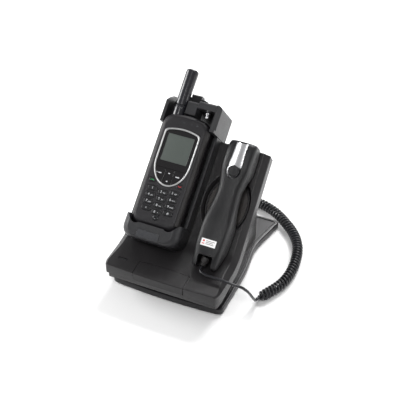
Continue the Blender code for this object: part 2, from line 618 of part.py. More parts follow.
def make_handset(handset, paint):
    back = handset_shell("handset_back_shell", True, paint["handset"], handset)
    face = handset_shell("handset_face_shell", False, paint["handset"], handset)
    fork = box("fork_room", (-8.8, -90, -5), (9.2, -63.5, 50), None, handset)
    cut(back, slab("keyhole_room", keyhole(), 24.7, 45, None, handset), fork,
        box("back_room", (-11, -58, 10), (11, 26, 24.5), None, handset))
    cut(face, fork, slab("ear_room", circle(0, 56, 11, 16), -3, 5.3, None, handset),
        slab("mouth_room", circle(0, -38, 9, 16), -3, 4.3, None, handset))
    slab("ear_cushion", circle(0, 56, 10.6, 20), 0.5, 5.0, paint["rubber"], handset)
    slab("mouthpiece_mic", circle(0, -38, 8.6, 16), 0.5, 4.0, paint["gloss"], handset)
    inlay = slab("handset_inlay", keyhole(0.4), 25.0, 27.4, paint["chrome"], handset, 0.0, 0.5)
    cut(inlay, box("inlay_limit", (-20, 73.0, 20), (20, 90, 40), None, handset))
    slab("handset_button", circle(0, 40, 6.8, 20), 28.7, 31.2, paint["handset"], handset, 0.0, 0.6,
         (0, 40, 28.7))
    rod("strain_relief", (-0.8, -64.9, 20.9), (-3.0, -75.0, 19.6),
        [(0, 4.9), (0.5, 4.9), (0.56, 4.2), (0.94, 3.8), (1, 3.2)], paint["rubber"], handset, 16)


# ---------------------------------------------------------------- cord

LEAD_ROUTE = ((39.4, 16.2, 54.7), (39.2, 12.8, 53.4), (41.0, 9.4, 52.9), (46.2, 7.1, 52.8), (54.4, 5.9, 52.9),
              (66.7, 6.0, 53.0), (79.3, 5.7, 52.4), (88.9, 6.6, 51.0), (94.3, 8.5, 48.0), (98.4, 10.9, 43.0),
              (100.6, 15.2, 35.0), (101.7, 21.0, 25.0), (101.6, 28.6, 14.0), (101.0, 34.0, 8.4),
              (101.3, 38.1, 7.2))
COIL_ROUTE = ((101.6, 39.2, 7.0), (107.2, 49.6, 6.8), (115.0, 65.0, 6.8), (119.8, 79.5, 6.8), (121.6, 98.0, 6.8),
              (120.4, 114.5, 6.8), (117.4, 130.5, 6.8), (112.4, 145.0, 6.8), (104.6, 158.4, 6.8),
              (95.4, 169.4, 6.8), (84.8, 178.8, 6.8), (68.0, 191.4, 6.8), (52.8, 198.6, 6.8), (38.0, 202.6, 6.8),
              (24.0, 203.2, 6.8), (12.0, 199.6, 6.8))
TAIL_ROUTE = ((11.4, 199.3, 6.8), (6.0, 196.6, 8.4), (1.6, 191.0, 13.0), (-0.6, 183.0, 19.0), (-0.6, 172.0, 24.0),
              (0.0, 162.0, 26.6), (0.0, 155.6, 27.0))


def smooth_route(route, step):
    """Points along a smooth curve through a route, a step apart."""
    points = [Vector(p) for p in route]
    ends = [points[0] * 2 - points[1]] + points + [points[-1] * 2 - points[-2]]
    fine = []
    for i in range(1, len(ends) - 2):
        a, b, c, d = ends[i - 1:i + 3]
        for k in range(12):
            t = k / 12
            fine.append(0.5 * ((2 * b) + (c - a) * t + (2 * a - 5 * b + 4 * c - d) * t ** 2
                               + (3 * b - a - 3 * c + d) * t ** 3))
    fine.append(points[-1])
    lengths = [0.0]
    for p, q in zip(fine, fine[1:]):
        lengths.append(lengths[-1] + (q - p).length)
    count = max(2, round(lengths[-1] / step))
    spaced = []
    for k in range(count + 1):
        target = lengths[-1] * k / count
        i = max(j for j in range(len(lengths)) if lengths[j] <= target + 1e-9)
        i = min(i, len(fine) - 2)
        share = (target - lengths[i]) / (lengths[i + 1] - lengths[i])
        spaced.append(fine[i].lerp(fine[i + 1], min(1.0, share)))
    return spaced


def cord_tube(name, route, diameter, step, material, frame, resolution=2):
    curve = bpy.data.curves.new(name, 'CURVE')
    curve.dimensions = '3D'
    curve.bevel_depth = diameter / 2 * MM
    curve.bevel_resolution = resolution
    curve.use_fill_caps = True
    points = smooth_route(route, step)
    spline = curve.splines.new('POLY')
    spline.points.add(len(points) - 1)
    for point, place in zip(spline.points, points):
        point.co = (*(place * MM), 1.0)
    curve.materials.append(material)
    obj = bpy.data.objects.new(name, curve)
    obj.parent = frame
    bpy.context.scene.collection.objects.link(obj)
    return obj


def make_cord(stand, paint):
    cord_tube("cord_lead", LEAD_ROUTE, LEAD_DIAMETER, 6.0, paint["cord"], stand)
    cord_tube("cord_coil", COIL_ROUTE, COIL_DIAMETER, 12.0, paint["cord"], stand, 3)
    cord_tube("cord_tail", TAIL_ROUTE, LEAD_DIAMETER, 6.0, paint["cord"], stand)
    slab("cord_plug", [(-4.8, 126.6), (4.8, 126.6), (4.8, 147), (2.6, 155.2), (-2.6, 155.2), (-4.8, 147)],
         22.7, 31.3, paint["gloss"], stand)


def make_paint():
    return {
        "shell": make_material("stand plastic", (0.055, 0.055, 0.06), 0.42),
        "base": make_material("base plastic", (0.10, 0.10, 0.105), 0.45),
        "dock": make_material("dock plastic", (0.05, 0.05, 0.055), 0.5),
        "plate": make_material("plate", (0.09, 0.09, 0.10), 0.4),
        "phone": make_material("phone plastic", (0.03, 0.03, 0.032), 0.5),
        "key": make_material("keys", (0.022, 0.022, 0.024), 0.5),
        "rubber": make_material("rubber", (0.03, 0.03, 0.032), 0.75),
        "chrome": make_material("chrome", (0.75, 0.75, 0.76), 0.15, 1.0),
        "glass": make_material("black glass", (0.008, 0.008, 0.009), 0.08),
        "lcd": make_material("display", (0.20, 0.24, 0.21), 0.25),
        "gloss": make_material("gloss plastic", (0.02, 0.02, 0.022), 0.2),
        "handset": make_material("handset plastic", (0.035, 0.035, 0.038), 0.5),
        "grille": make_material("grille", (0.03, 0.03, 0.03), 0.4, 0.6),
        "steel": make_material("steel", (0.55, 0.55, 0.56), 0.3, 1.0),
        "gold": make_material("gold contacts", (0.8, 0.6, 0.25), 0.25, 1.0),
        "board": make_material("circuit board", (0.02, 0.12, 0.05), 0.5),
        "battery": make_material("battery", (0.08, 0.09, 0.12), 0.5),
        "cord": make_material("cord jacket", (0.035, 0.035, 0.04), 0.4),
    }


def main():
    clear_scene()
    paint = make_paint()
    stand = make_frame("stand_frame", None, (0, -DEPTH_MIDDLE, 0))
    panel = make_frame("panel_frame", stand, (0, BEND_Y, BEND_Z), RECLINE)
    phone = make_frame("phone_frame", panel, PHONE_PLACE)
    handset = make_frame("handset_frame", panel, HANDSET_PLACE)
    make_stand(stand, panel, paint)
    make_dock(phone, stand, paint)
    make_phone(phone, paint)
    make_handset(handset, paint)
    make_cord(stand, paint)
    bpy.context.view_layer.update()


if __name__ == "__main__":
    main()
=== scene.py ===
"""The looks of a rugged satellite phone in its desk dock, with a privacy handset on a curly cord.

Sizes are millimetres in four frames: the stand's, the reclined panel's, the phone's and the handset's.
Each frame is a matrix that takes its millimetres to the model's metres.
"""
import contextlib
import json
import math

import bmesh
import bpy
from mathutils import Matrix, Vector


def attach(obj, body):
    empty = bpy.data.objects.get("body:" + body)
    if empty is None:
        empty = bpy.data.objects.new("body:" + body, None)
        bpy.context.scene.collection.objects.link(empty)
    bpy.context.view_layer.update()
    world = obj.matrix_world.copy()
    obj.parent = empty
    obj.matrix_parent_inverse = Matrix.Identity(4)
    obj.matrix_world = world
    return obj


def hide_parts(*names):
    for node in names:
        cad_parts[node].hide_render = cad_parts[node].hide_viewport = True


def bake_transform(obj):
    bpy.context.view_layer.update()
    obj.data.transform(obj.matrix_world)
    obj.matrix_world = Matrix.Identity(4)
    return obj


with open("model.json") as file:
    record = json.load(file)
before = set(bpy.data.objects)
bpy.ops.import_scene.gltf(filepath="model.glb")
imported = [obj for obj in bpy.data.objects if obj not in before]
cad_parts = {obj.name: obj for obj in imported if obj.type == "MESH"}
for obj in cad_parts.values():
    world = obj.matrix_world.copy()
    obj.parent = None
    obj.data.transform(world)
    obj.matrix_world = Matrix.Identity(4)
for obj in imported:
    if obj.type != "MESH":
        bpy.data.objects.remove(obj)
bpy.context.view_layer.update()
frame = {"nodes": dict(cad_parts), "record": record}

MM = 0.001
GAP = 0.3
RECLINE = math.radians(40.0)
PALM_SLOPE = math.radians(6.3)
BEND_Y = 42.6
BEND_Z = 51.4
PANEL_LENGTH = 133.0
PANEL_HALF_WIDTH = 73.0
SHELL_FRONT = -16.0
CREASE_HEIGHT = 44.9
FRONT_SHELL = 14.0
TOP_SHELL = 11.0
SLAB = 24.0
FRONT_BOW = 2.4
WELL_DEPTH = 8.5
WELL_X, WELL_Y = 37.5, 62.0
WELL_HALF_WIDTH, WELL_HALF_HEIGHT = 30.0, 39.0
WIRE = 3.3                      # the cord's own diameter
COIL_DIAMETER = 13.5

STAND = Matrix.Scale(MM, 4) @ Matrix.Translation((0.0, -84.0, 0.0))
PANEL = STAND @ Matrix.Translation((0, BEND_Y, BEND_Z)) @ Matrix.Rotation(RECLINE, 4, 'X')
PHONE = PANEL @ Matrix.Translation((-28.9, 103.7, 37.0))
HANDSET = PANEL @ Matrix.Translation((42.5, 58.0, 0.0))

bpy.context.scene.view_settings.view_transform = 'Standard'


# -------- camera

def make_camera():
    data = bpy.data.cameras.new("camera")
    camera = bpy.data.objects.new("camera", data)
    bpy.context.scene.collection.objects.link(camera)
    data.sensor_width = 36.0
    data.lens = 97.81
    data.clip_end = 20.0
    camera.location = STAND @ Vector((412.675, -819.482, 921.438))
    camera.rotation_euler = (math.radians(50.05), 0.0, math.radians(24.2))
    bpy.context.scene.camera = camera


make_camera()


# -------- materials

def add_node(material, kind, **values):
    """A new shader node; each value goes to the input of its name, with _ for a space."""
    made = material.node_tree.nodes.new("ShaderNode" + kind)
    for word, value in values.items():
        made.inputs[word.replace("_", " ")].default_value = value
    return made


def join(material, source, output, target, entry):
    material.node_tree.links.new(source.outputs[output], target.inputs[entry])


def add_bump(material, source, output, strength, distance):
    """Lets a texture's value raise and lower the surface."""
    bump = add_node(material, "Bump", Strength=strength, Distance=distance)
    join(material, source, output, bump, "Height")
    join(material, bump, "Normal", material.node_tree.nodes["Principled BSDF"], "Normal")


def plastic(name, colour, roughness, grain=0.0, grain_size=0.4, mottle=0.12, metallic=0.0, coat=0.0):
    """Moulded plastic, rubber or metal: fine grain in the bump, and uneven colour and gloss."""
    material = bpy.data.materials.new(name)
    material.use_nodes = True
    shader = material.node_tree.nodes["Principled BSDF"]
    shader.inputs["Metallic"].default_value = metallic
    shader.inputs["Coat Weight"].default_value = coat
    shader.inputs["Coat Roughness"].default_value = 0.12
    shader.inputs["Specular IOR Level"].default_value = 0.5 if metallic else 0.34
    place = add_node(material, "TexCoord")
    cloud = add_node(material, "TexNoise", Scale=38.0, Detail=6.0)
    join(material, place, "Object", cloud, "Vector")
    tint = add_node(material, "ValToRGB")
    dark, light = tint.color_ramp.elements
    dark.position, light.position = 0.3, 0.7
    dark.color = (*(c * (1 - mottle) for c in colour), 1)
    light.color = (*(min(1.0, c * (1 + mottle)) for c in colour), 1)
    join(material, cloud, "Fac", tint, "Fac")
    join(material, tint, "Color", shader, "Base Color")
    smudge = add_node(material, "TexNoise", Scale=90.0, Detail=4.0)
    join(material, place, "Object", smudge, "Vector")
    gloss = add_node(material, "MapRange", From_Min=0.3, From_Max=0.7, To_Min=max(0.02, roughness - 0.025),
                     To_Max=roughness + 0.025)
    join(material, smudge, "Fac", gloss, "Value")
    join(material, gloss, "Result", shader, "Roughness")
    if grain:
        pits = add_node(material, "TexVoronoi", Scale=1.0 / (grain_size * MM))
        join(material, place, "Object", pits, "Vector")
        add_bump(material, pits, "Distance", grain, 0.0002)
    return material


def brushed(name, colour, roughness):
    """Metal with fine lines along its length."""
    material = plastic(name, colour, roughness, metallic=1.0, mottle=0.05)
    place = add_node(material, "TexCoord")
    stretch = add_node(material, "Mapping", Scale=(40.0, 4000.0, 4000.0))
    lines = add_node(material, "TexNoise", Scale=1.0)
    join(material, place, "Object", stretch, "Vector")
    join(material, stretch, "Vector", lines, "Vector")
    add_bump(material, lines, "Fac", 0.25, 0.00005)
    return material


def display_glass(name):
    """The unlit display: grey-green, with its rows of picture cells."""
    material = plastic(name, (0.075, 0.088, 0.080), 0.3, mottle=0.03, coat=0.5)
    place = add_node(material, "TexCoord")
    cells = add_node(material, "TexVoronoi", Scale=3600.0)
    cells.distance = 'CHEBYCHEV'
    cells.inputs["Randomness"].default_value = 0.0
    join(material, place, "Object", cells, "Vector")
    add_bump(material, cells, "Distance", 0.02, 0.00003)
    return material


PAINT = {
    "shell": plastic("stand plastic", (0.018, 0.017, 0.018), 0.30, 0.35, 0.5, 0.10),
    "base": plastic("base plastic", (0.014, 0.013, 0.015), 0.30, 0.12, 0.5, 0.10),
    "dock": plastic("dock plastic", (0.022, 0.022, 0.024), 0.36, 0.45, 0.45, 0.12),
    "plate": plastic("cup plate", (0.045, 0.046, 0.050), 0.28, 0.2, 0.4, 0.08),
    "phone": plastic("phone plastic", (0.009, 0.008, 0.010), 0.38, 0.4, 0.35, 0.12),
    "key": plastic("keypad rubber", (0.008, 0.008, 0.009), 0.36, 0.2, 0.3, 0.1),
    "rubber": plastic("soft rubber", (0.030, 0.028, 0.028), 0.42, 0.5, 0.35, 0.15),
    "chrome": plastic("bright ring", (0.60, 0.60, 0.60), 0.38, metallic=1.0, mottle=0.03),
    "glass": plastic("black lens", (0.006, 0.005, 0.006), 0.10, mottle=0.1, coat=0.6),
    "display": display_glass("display"),
    "gloss": plastic("gloss plastic", (0.012, 0.012, 0.014), 0.16, mottle=0.12, coat=0.5),
    "antenna": plastic("antenna coating", (0.014, 0.014, 0.018), 0.22, 0.1, 0.3, 0.1, coat=0.4),
    "handset": plastic("handset plastic", (0.009, 0.009, 0.010), 0.34, 0.8, 0.8, 0.1),
    "inlay": plastic("mirror inlay", (0.80, 0.80, 0.82), 0.22, metallic=1.0, mottle=0.04),
    "grille": plastic("grille paint", (0.085, 0.078, 0.074), 0.30, 0.2, 0.3, 0.15),
    "cloth": plastic("speaker cloth", (0.010, 0.010, 0.010), 0.85, 0.8, 0.25, 0.3),
    "steel": brushed("turned steel", (0.36, 0.36, 0.37), 0.32),
    "gold": plastic("gold contacts", (0.83, 0.62, 0.26), 0.22, metallic=1.0, mottle=0.05),
    "board": plastic("circuit board", (0.02, 0.12, 0.05), 0.45, 0.4, 1.2, 0.3),
    "battery": plastic("battery wrap", (0.08, 0.09, 0.12), 0.4, 0.1, 0.5, 0.15),
    "cord": plastic("cord jacket", (0.014, 0.014, 0.017), 0.30, 0.1, 0.4, 0.12, coat=0.15),
    "label": plastic("paper label", (0.86, 0.86, 0.86), 0.5, 0.1, 0.3, 0.02),
    "ink": plastic("grey ink", (0.22, 0.20, 0.20), 0.5, mottle=0.1),
    "red ink": plastic("red ink", (0.62, 0.06, 0.05), 0.5, mottle=0.1),
    "legend": plastic("white legend", (0.62, 0.63, 0.65), 0.45, mottle=0.04),
    "green": plastic("green legend", (0.03, 0.32, 0.10), 0.45, mottle=0.05),
    "red": plastic("red legend", (0.50, 0.03, 0.04), 0.45, mottle=0.05),
}

SLOT_PAINT = {
    "stand_plastic": "shell", "base_plastic": "base", "dock_plastic": "dock", "plate": "plate",
    "phone_plastic": "phone", "keys": "key", "grip_rubber": "rubber", "ring_chrome": "chrome",
    "black_glass": "glass", "display": "display", "gloss_plastic": "gloss", "handset_plastic": "handset",
    "grille": "grille", "steel": "steel", "gold_contacts": "gold", "circuit_board": "board",
    "battery": "battery", "cord_jacket": "cord",
}

PAINT_SLOT = {paint: slot for slot, paint in SLOT_PAINT.items()}
PAINT_SLOT.update({"antenna": "gloss_plastic", "inlay": "ring_chrome", "label": "plate"})


def paint_frame():
    """The carried-over CAD parts take the material of their record's slot."""
    for row in frame["record"]["subparts"]:
        node = frame["nodes"][row["node"]]
        node.data.materials.clear()
        node.data.materials.append(PAINT[SLOT_PAINT[row["material_slot"]]])


paint_frame()


# -------- shape helpers

def add_object(name, data):
    made = bpy.data.objects.new(name, data)
    bpy.context.scene.collection.objects.link(made)
    return made


@contextlib.contextmanager
def editing(mesh):
    """Opens a mesh for bmesh steps and writes them back."""
    work = bmesh.new()
    work.from_mesh(mesh)
    yield work
    work.to_mesh(mesh)
    work.free()


def add_mesh(name, points, faces, place, paint=None, body="stand", replaces=(), slot=None, smooth=35):
    """A mesh from millimetre points in a frame, which rides on a body and wears its paint."""
    mesh = bpy.data.meshes.new(name)
    mesh.from_pydata([place @ Vector(p) for p in points], [], faces)
    with editing(mesh) as work:
        bmesh.ops.triangulate(work, faces=[face for face in work.faces if len(face.verts) > 4])
        bmesh.ops.recalc_face_normals(work, faces=work.faces)
    mesh.shade_smooth()
    mesh.set_sharp_from_angle(angle=math.radians(smooth))
    piece = add_object(name, mesh)
    if paint is None:
        piece.hide_render = True
        return piece
    mesh.materials.append(PAINT[paint])
    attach(piece, body)
    if replaces:
        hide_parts(*replaces)
    if slot is None:
        slot = PAINT_SLOT.get(paint)
    return piece


def apply_modifiers(piece):
    bpy.context.view_layer.update()
    made = piece.evaluated_get(bpy.context.evaluated_depsgraph_get())
    mesh = bpy.data.meshes.new_from_object(made)
    piece.modifiers.clear()
    old = piece.data
    piece.data = mesh
    bpy.data.meshes.remove(old)


def settle(piece, *guides, operation='DIFFERENCE', bevel=0.0, segments=2, angle=40, smooth=35):
    """Cuts guides out of a piece, or adds them, rounds its edges and applies it all."""
    for guide in guides:
        modifier = piece.modifiers.new(guide.name, 'BOOLEAN')
        modifier.operation = operation
        modifier.object = guide
    apply_modifiers(piece)
    for guide in guides:
        spare = guide.data
        bpy.data.objects.remove(guide)
        bpy.data.meshes.remove(spare)
    if bevel:
        with editing(piece.data) as work:
            bmesh.ops.remove_doubles(work, verts=work.verts, dist=0.01 * MM)
            bmesh.ops.dissolve_limit(work, angle_limit=math.radians(0.05), verts=work.verts, edges=work.edges)
        edges = piece.modifiers.new("edges", 'BEVEL')
        edges.width = bevel * MM
        edges.segments = segments
        edges.limit_method = 'ANGLE'
        edges.angle_limit = math.radians(angle)
        edges.use_clamp_overlap = True
        apply_modifiers(piece)
    piece.data.shade_smooth()
    piece.data.set_sharp_from_angle(angle=math.radians(smooth))
    flat = piece.modifiers.new("even shading", 'WEIGHTED_NORMAL')
    flat.keep_sharp = True
    apply_modifiers(piece)
    return piece


def loft(name, rings, place, *args, **kwargs):
    count = len(rings[0])
    points = [p for ring in rings for p in ring]
    faces = [list(range(count))[::-1], [len(points) - count + k for k in range(count)]]
    for level in range(len(rings) - 1):
        low = level * count
        for k in range(count):
            after = (k + 1) % count
            faces.append([low + k, low + after, low + count + after, low + count + k])
    return add_mesh(name, points, faces, place, *args, **kwargs)


def band(name, rings, place, *args, **kwargs):
    """Like a loft, but with no end faces: its last ring joins its first."""
    count = len(rings[0])
    points = [p for ring in rings for p in ring]
    faces = []
    for level in range(len(rings)):
        low, high = level * count, (level + 1) % len(rings) * count
        for k in range(count):
            after = (k + 1) % count
            faces.append([low + k, low + after, high + after, high + k])
    return add_mesh(name, points, faces, place, *args, **kwargs)


def stack(outline, levels):
    """Rings of an outline function, from (height, inset) pairs."""
    return [[(x, y, z) for x, y in outline(inset)] for z, inset in levels]


def signed_area(outline):
    total = 0.0
    for (x0, y0), (x1, y1) in zip(outline, outline[1:] + outline[:1]):
        total += x0 * y1 - x1 * y0
    return total / 2


def shrink(outline, distance):
    moved = []
    count = len(outline)
    for i in range(count):
        a, b, c = (Vector(outline[(i + k) % count]) for k in (-1, 0, 1))
        first = (b - a).normalized()
        second = (c - b).normalized()
        corner = Vector((-first.y - second.y, first.x + second.x)) / (1 + first.dot(second))
        moved.append(tuple(b + corner * distance))
    return moved


def rounded(corners, steps=6):
    points = []
    count = len(corners)
    for i, (x, y, radius) in enumerate(corners):
        here = Vector((x, y))
        before = Vector(corners[i - 1][:2]) - here
        after = Vector(corners[(i + 1) % count][:2]) - here
        if radius <= 0:
            points.append((x, y))
            continue
        half = before.angle(after) / 2
        reach = radius / math.tan(half)
        middle = here + (before.normalized() + after.normalized()).normalized() * radius / math.sin(half)
        start = here + before.normalized() * reach - middle
        end = here + after.normalized() * reach - middle
        sweep = start.angle_signed(end)
        for k in range(steps + 1):
            turned = start.copy()
            turned.rotate(Matrix.Rotation(-sweep * k / steps, 2))
            points.append(tuple(middle + turned))
    return points if signed_area(points) > 0 else points[::-1]


def rectangle(x0, y0, x1, y1, radius=0.0, steps=6):
    return rounded([(x0, y0, radius), (x1, y0, radius), (x1, y1, radius), (x0, y1, radius)], steps)


def circle(x, y, radius, steps=40):
    turns = [2 * math.pi * k / steps for k in range(steps)]
    return [(x + radius * math.cos(a), y + radius * math.sin(a)) for a in turns]


def slab(name, outline, low, high, place, *args, edge=0.0, foot=0.0, **kwargs):
    """An outline raised from low to high, with a round upper edge and a round lower one."""
    turns = [math.pi / 2 * k / 4 for k in range(5)]
    levels = [(low, 0.0)]
    if foot:
        levels = [(low + foot * (1 - math.sin(a)), foot * (1 - math.cos(a))) for a in turns[::-1]]
    if edge:
        levels += [(high - edge * (1 - math.sin(a)), edge * (1 - math.cos(a))) for a in turns]
    else:
        levels.append((high, 0.0))
    return loft(name, stack(lambda inset: shrink(outline, inset), levels), place, *args, **kwargs)


def side_slab(name, outline, low, high, place, *args, **kwargs):
    rings = [[(x, y, z) for y, z in outline] for x in (low, high)]
    return loft(name, rings, place, *args, **kwargs)


def box(name, low, high, place, *args, **kwargs):
    return slab(name, rectangle(low[0], low[1], high[0], high[1]), low[2], high[2], place, *args, **kwargs)


def rod(name, start, end, radii, place, *args, steps=40, **kwargs):
    """A turned piece between two points; radii are (share of length, radius) pairs."""
    start, end = Vector(start), Vector(end)
    turn = (end - start).to_track_quat('Z', 'Y')
    rings = []
    for share, radius in radii:
        middle = start.lerp(end, share)
        rings.append([tuple(middle + turn @ Vector((x, y, 0))) for x, y in circle(0, 0, radius, steps)])
    return loft(name, rings, place, *args, **kwargs)


def between(a, b, c, d, t):
    """A point on the smooth curve from b to c, with a and d as their neighbours."""
    return 0.5 * ((2 * b) + (c - a) * t + (2 * a - 5 * b + 4 * c - d) * t ** 2
                  + (3 * b - a - 3 * c + d) * t ** 3)


def refine(points, steps, corners=()):
    """More points on the smooth curve through a closed ring, which stays sharp at its corners."""
    points = [Vector(p) for p in points]
    count = len(points)
    made = []
    for i in range(count):
        b, c = points[i], points[(i + 1) % count]
        a = b * 2 - c if i in corners else points[i - 1]
        d = c * 2 - b if (i + 1) % count in corners else points[(i + 2) % count]
        made += [between(a, b, c, d, k / steps) for k in range(steps)]
    return made


def refine_line(points, steps):
    """More points on the smooth curve through an open row of points."""
    points = [Vector(p) for p in points]
    ends = [points[0] * 2 - points[1]] + points + [points[-1] * 2 - points[-2]]
    made = []
    for i in range(1, len(ends) - 2):
        made += [between(*ends[i - 1:i + 3], k / steps) for k in range(steps)]
    return made + [points[-1]]


def smooth_loft(name, rings, along, around, corners, place, *args, **kwargs):
    """A loft whose rings and whose rows from ring to ring both become smooth curves."""
    rows = [refine_line([ring[k] for ring in rings], along) for k in range(len(rings[0]))]
    fine = [refine([row[i] for row in rows], around, corners) for i in range(len(rows[0]))]
    return loft(name, fine, place, *args, **kwargs)


# -------- cord

LEAD_ROUTE = ((39.4, 16.2, 54.7), (39.2, 12.8, 53.4), (41.0, 9.4, 52.9), (46.2, 7.1, 52.8), (54.4, 5.9, 52.9),
              (66.7, 6.0, 53.0), (79.3, 5.7, 52.4), (88.9, 6.6, 51.0), (94.3, 8.5, 48.0), (98.4, 10.9, 43.0),
              (100.6, 15.2, 35.0), (101.7, 21.0, 25.0), (101.6, 28.6, 14.0), (101.0, 34.0, 8.4))
COIL_ROUTE = ((101.6, 39.2, 7.0), (107.2, 49.6, 6.8), (115.0, 65.0, 6.8), (119.8, 79.5, 6.8),
              (121.6, 98.0, 6.8), (120.4, 114.5, 6.8), (117.4, 130.5, 6.8), (112.4, 145.0, 6.8),
              (104.6, 158.4, 6.8), (95.4, 169.4, 6.8), (84.8, 178.8, 6.8), (68.0, 191.4, 6.8),
              (52.8, 198.6, 6.8), (38.0, 202.6, 6.8), (24.0, 203.2, 6.8), (12.0, 199.6, 6.8))
TAIL_ROUTE = ((6.0, 196.6, 8.4), (1.6, 191.0, 13.0), (-0.6, 183.0, 19.0), (-0.6, 172.0, 24.0),
              (0.0, 162.0, 26.6), (0.0, 155.6, 27.0))
TURN_PITCH = 4.6
TURN_POINTS = 14
TURN_RAMP = 9.0                 # the length over which the coil's turns open out


def walk(points, step):
    """Points a step apart along a row of points, with each one's distance from the start."""
    lengths = [0.0]
    for p, q in zip(points, points[1:]):
        lengths.append(lengths[-1] + (q - p).length)
    count = round(lengths[-1] / step)
    made, i = [], 0
    for k in range(count + 1):
        target = lengths[-1] * k / count
        while i < len(points) - 2 and lengths[i + 1] < target:
            i += 1
        share = (target - lengths[i]) / (lengths[i + 1] - lengths[i])
        made.append((points[i].lerp(points[i + 1], min(1.0, share)), target))
    return made


def cord_path():
    """The whole cord's centreline: the lead, the coil's turns and the tail."""
    line = refine_line(LEAD_ROUTE + COIL_ROUTE + TAIL_ROUTE, 16)
    steps = walk(line, TURN_PITCH / TURN_POINTS)
    first, last = Vector(COIL_ROUTE[0]), Vector(COIL_ROUTE[-1])
    start = min(steps, key=lambda s: (s[0] - first).length)[1]
    end = min(steps, key=lambda s: (s[0] - last).length)[1]
    radius = (COIL_DIAMETER - WIRE) / 2
    path = []
    for i, (middle, along) in enumerate(steps):
        opened = min((along - start) / TURN_RAMP, (end - along) / TURN_RAMP, 1.0)
        if opened <= 0.0:
            if i % 4 == 0 or i == len(steps) - 1:
                path.append(middle)
            continue
        ahead = (steps[min(i + 1, len(steps) - 1)][0] - steps[i - 1][0]).normalized()
        side = ahead.cross(Vector((0, 0, 1))).normalized()
        up = side.cross(ahead)
        turn = 2 * math.pi * (along - start) / TURN_PITCH - 1.2
        reach = radius * opened * opened * (3 - 2 * opened)
        path.append(middle + (side * math.cos(turn) + up * math.sin(turn)) * reach)
    return path


def tube(name, path, diameter, place, paint, sides=10):
    """A tube round a path, with flat ends, whose sides don't twist."""
    points, faces = [], []
    side = Vector((1, 0, 0))
    for i, here in enumerate(path):
        ahead = (path[min(i + 1, len(path) - 1)] - path[max(i - 1, 0)]).normalized()
        side = (side - ahead * side.dot(ahead)).normalized()
        up = ahead.cross(side)
        for k in range(sides):
            a = 2 * math.pi * k / sides
            points.append(here + (side * math.cos(a) + up * math.sin(a)) * diameter / 2)
    for i in range(len(path) - 1):
        for k in range(sides):
            after = (k + 1) % sides
            faces.append([i * sides + k, i * sides + after, (i + 1) * sides + after, (i + 1) * sides + k])
    faces.append(list(range(sides))[::-1])
    faces.append([(len(path) - 1) * sides + k for k in range(sides)])
    mesh = bpy.data.meshes.new(name)
    mesh.from_pydata([place @ p for p in points], [], faces)
    mesh.materials.append(PAINT[paint])
    mesh.shade_smooth()
    mesh.set_sharp_from_angle(angle=math.radians(60))
    return add_object(name, mesh)


def make_cord():
    path = cord_path()
    cord = tube("curly_cord", path, WIRE, STAND, "cord")
    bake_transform(cord)
    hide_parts("cord_lead", "cord_coil", "cord_tail")


make_cord()


# -------- stand

def base_outline(inset=0.0):
    """The base plate: bowed front, waisted sides and a flared rear."""
    front, rear, depth = 72.0 - inset, 76.0 - inset, 176.0
    right = []
    for k in range(1, 30):
        y = 8.0 + (depth - 16.0) * k / 30
        waist = 6.5 * math.exp(-((y - 122.0) / 32.0) ** 2)
        right.append((front + 4.0 * (y / depth) ** 3 - waist, y))
    left = [(-x, y) for x, y in reversed(right)]
    bow = [(x, inset - 3.4 * (1 - (x / front) ** 2)) for x in ((front - 9) * t / 9 for t in range(-9, 10))]
    turn = [(front - 6.5 + 6.5 * math.sin(a), inset + 6.2 - 6.5 * math.cos(a))
            for a in (math.pi / 2 * k / 6 for k in range(1, 7))]
    turn_left = [(-x, y) for x, y in reversed(turn)]
    back = depth - inset
    rear_turn = [(rear - 4 + 4 * math.cos(a), back - 4 + 4 * math.sin(a))
                 for a in (math.pi / 2 * k / 5 for k in range(6))]
    rear_left = [(-x, y) for x, y in reversed(rear_turn)]
    return turn_left + bow + turn + right + rear_turn + rear_left + left


def make_base():
    """The base plate, with a groove round its upper face just inside the rim."""
    levels = [(1.5, 1.2), (1.9, 0.3), (2.6, 0.0), (8.6, 0.0), (9.5, 0.35), (9.9, 0.9), (10.0, 1.6),
              (10.0, 3.0), (9.8, 3.2), (9.1, 3.3), (9.0, 3.5), (9.0, 4.4), (9.1, 4.6), (9.8, 4.7),
              (10.0, 4.9)]
    base = loft("base_cover", stack(base_outline, levels), STAND, "base", replaces=["base_plate"])
    settle(base, slab("base_room", rectangle(-58, 16, 58, 156, 8), 0, 5, STAND))
    for x in (-50, 50):
        for y in (24, 148):
            rod("base_screw", (x, y, 4.9), (x, y, 3.9), [(0, 2.6), (0.7, 2.6), (1, 2.2)], STAND, "steel",
                steps=24)


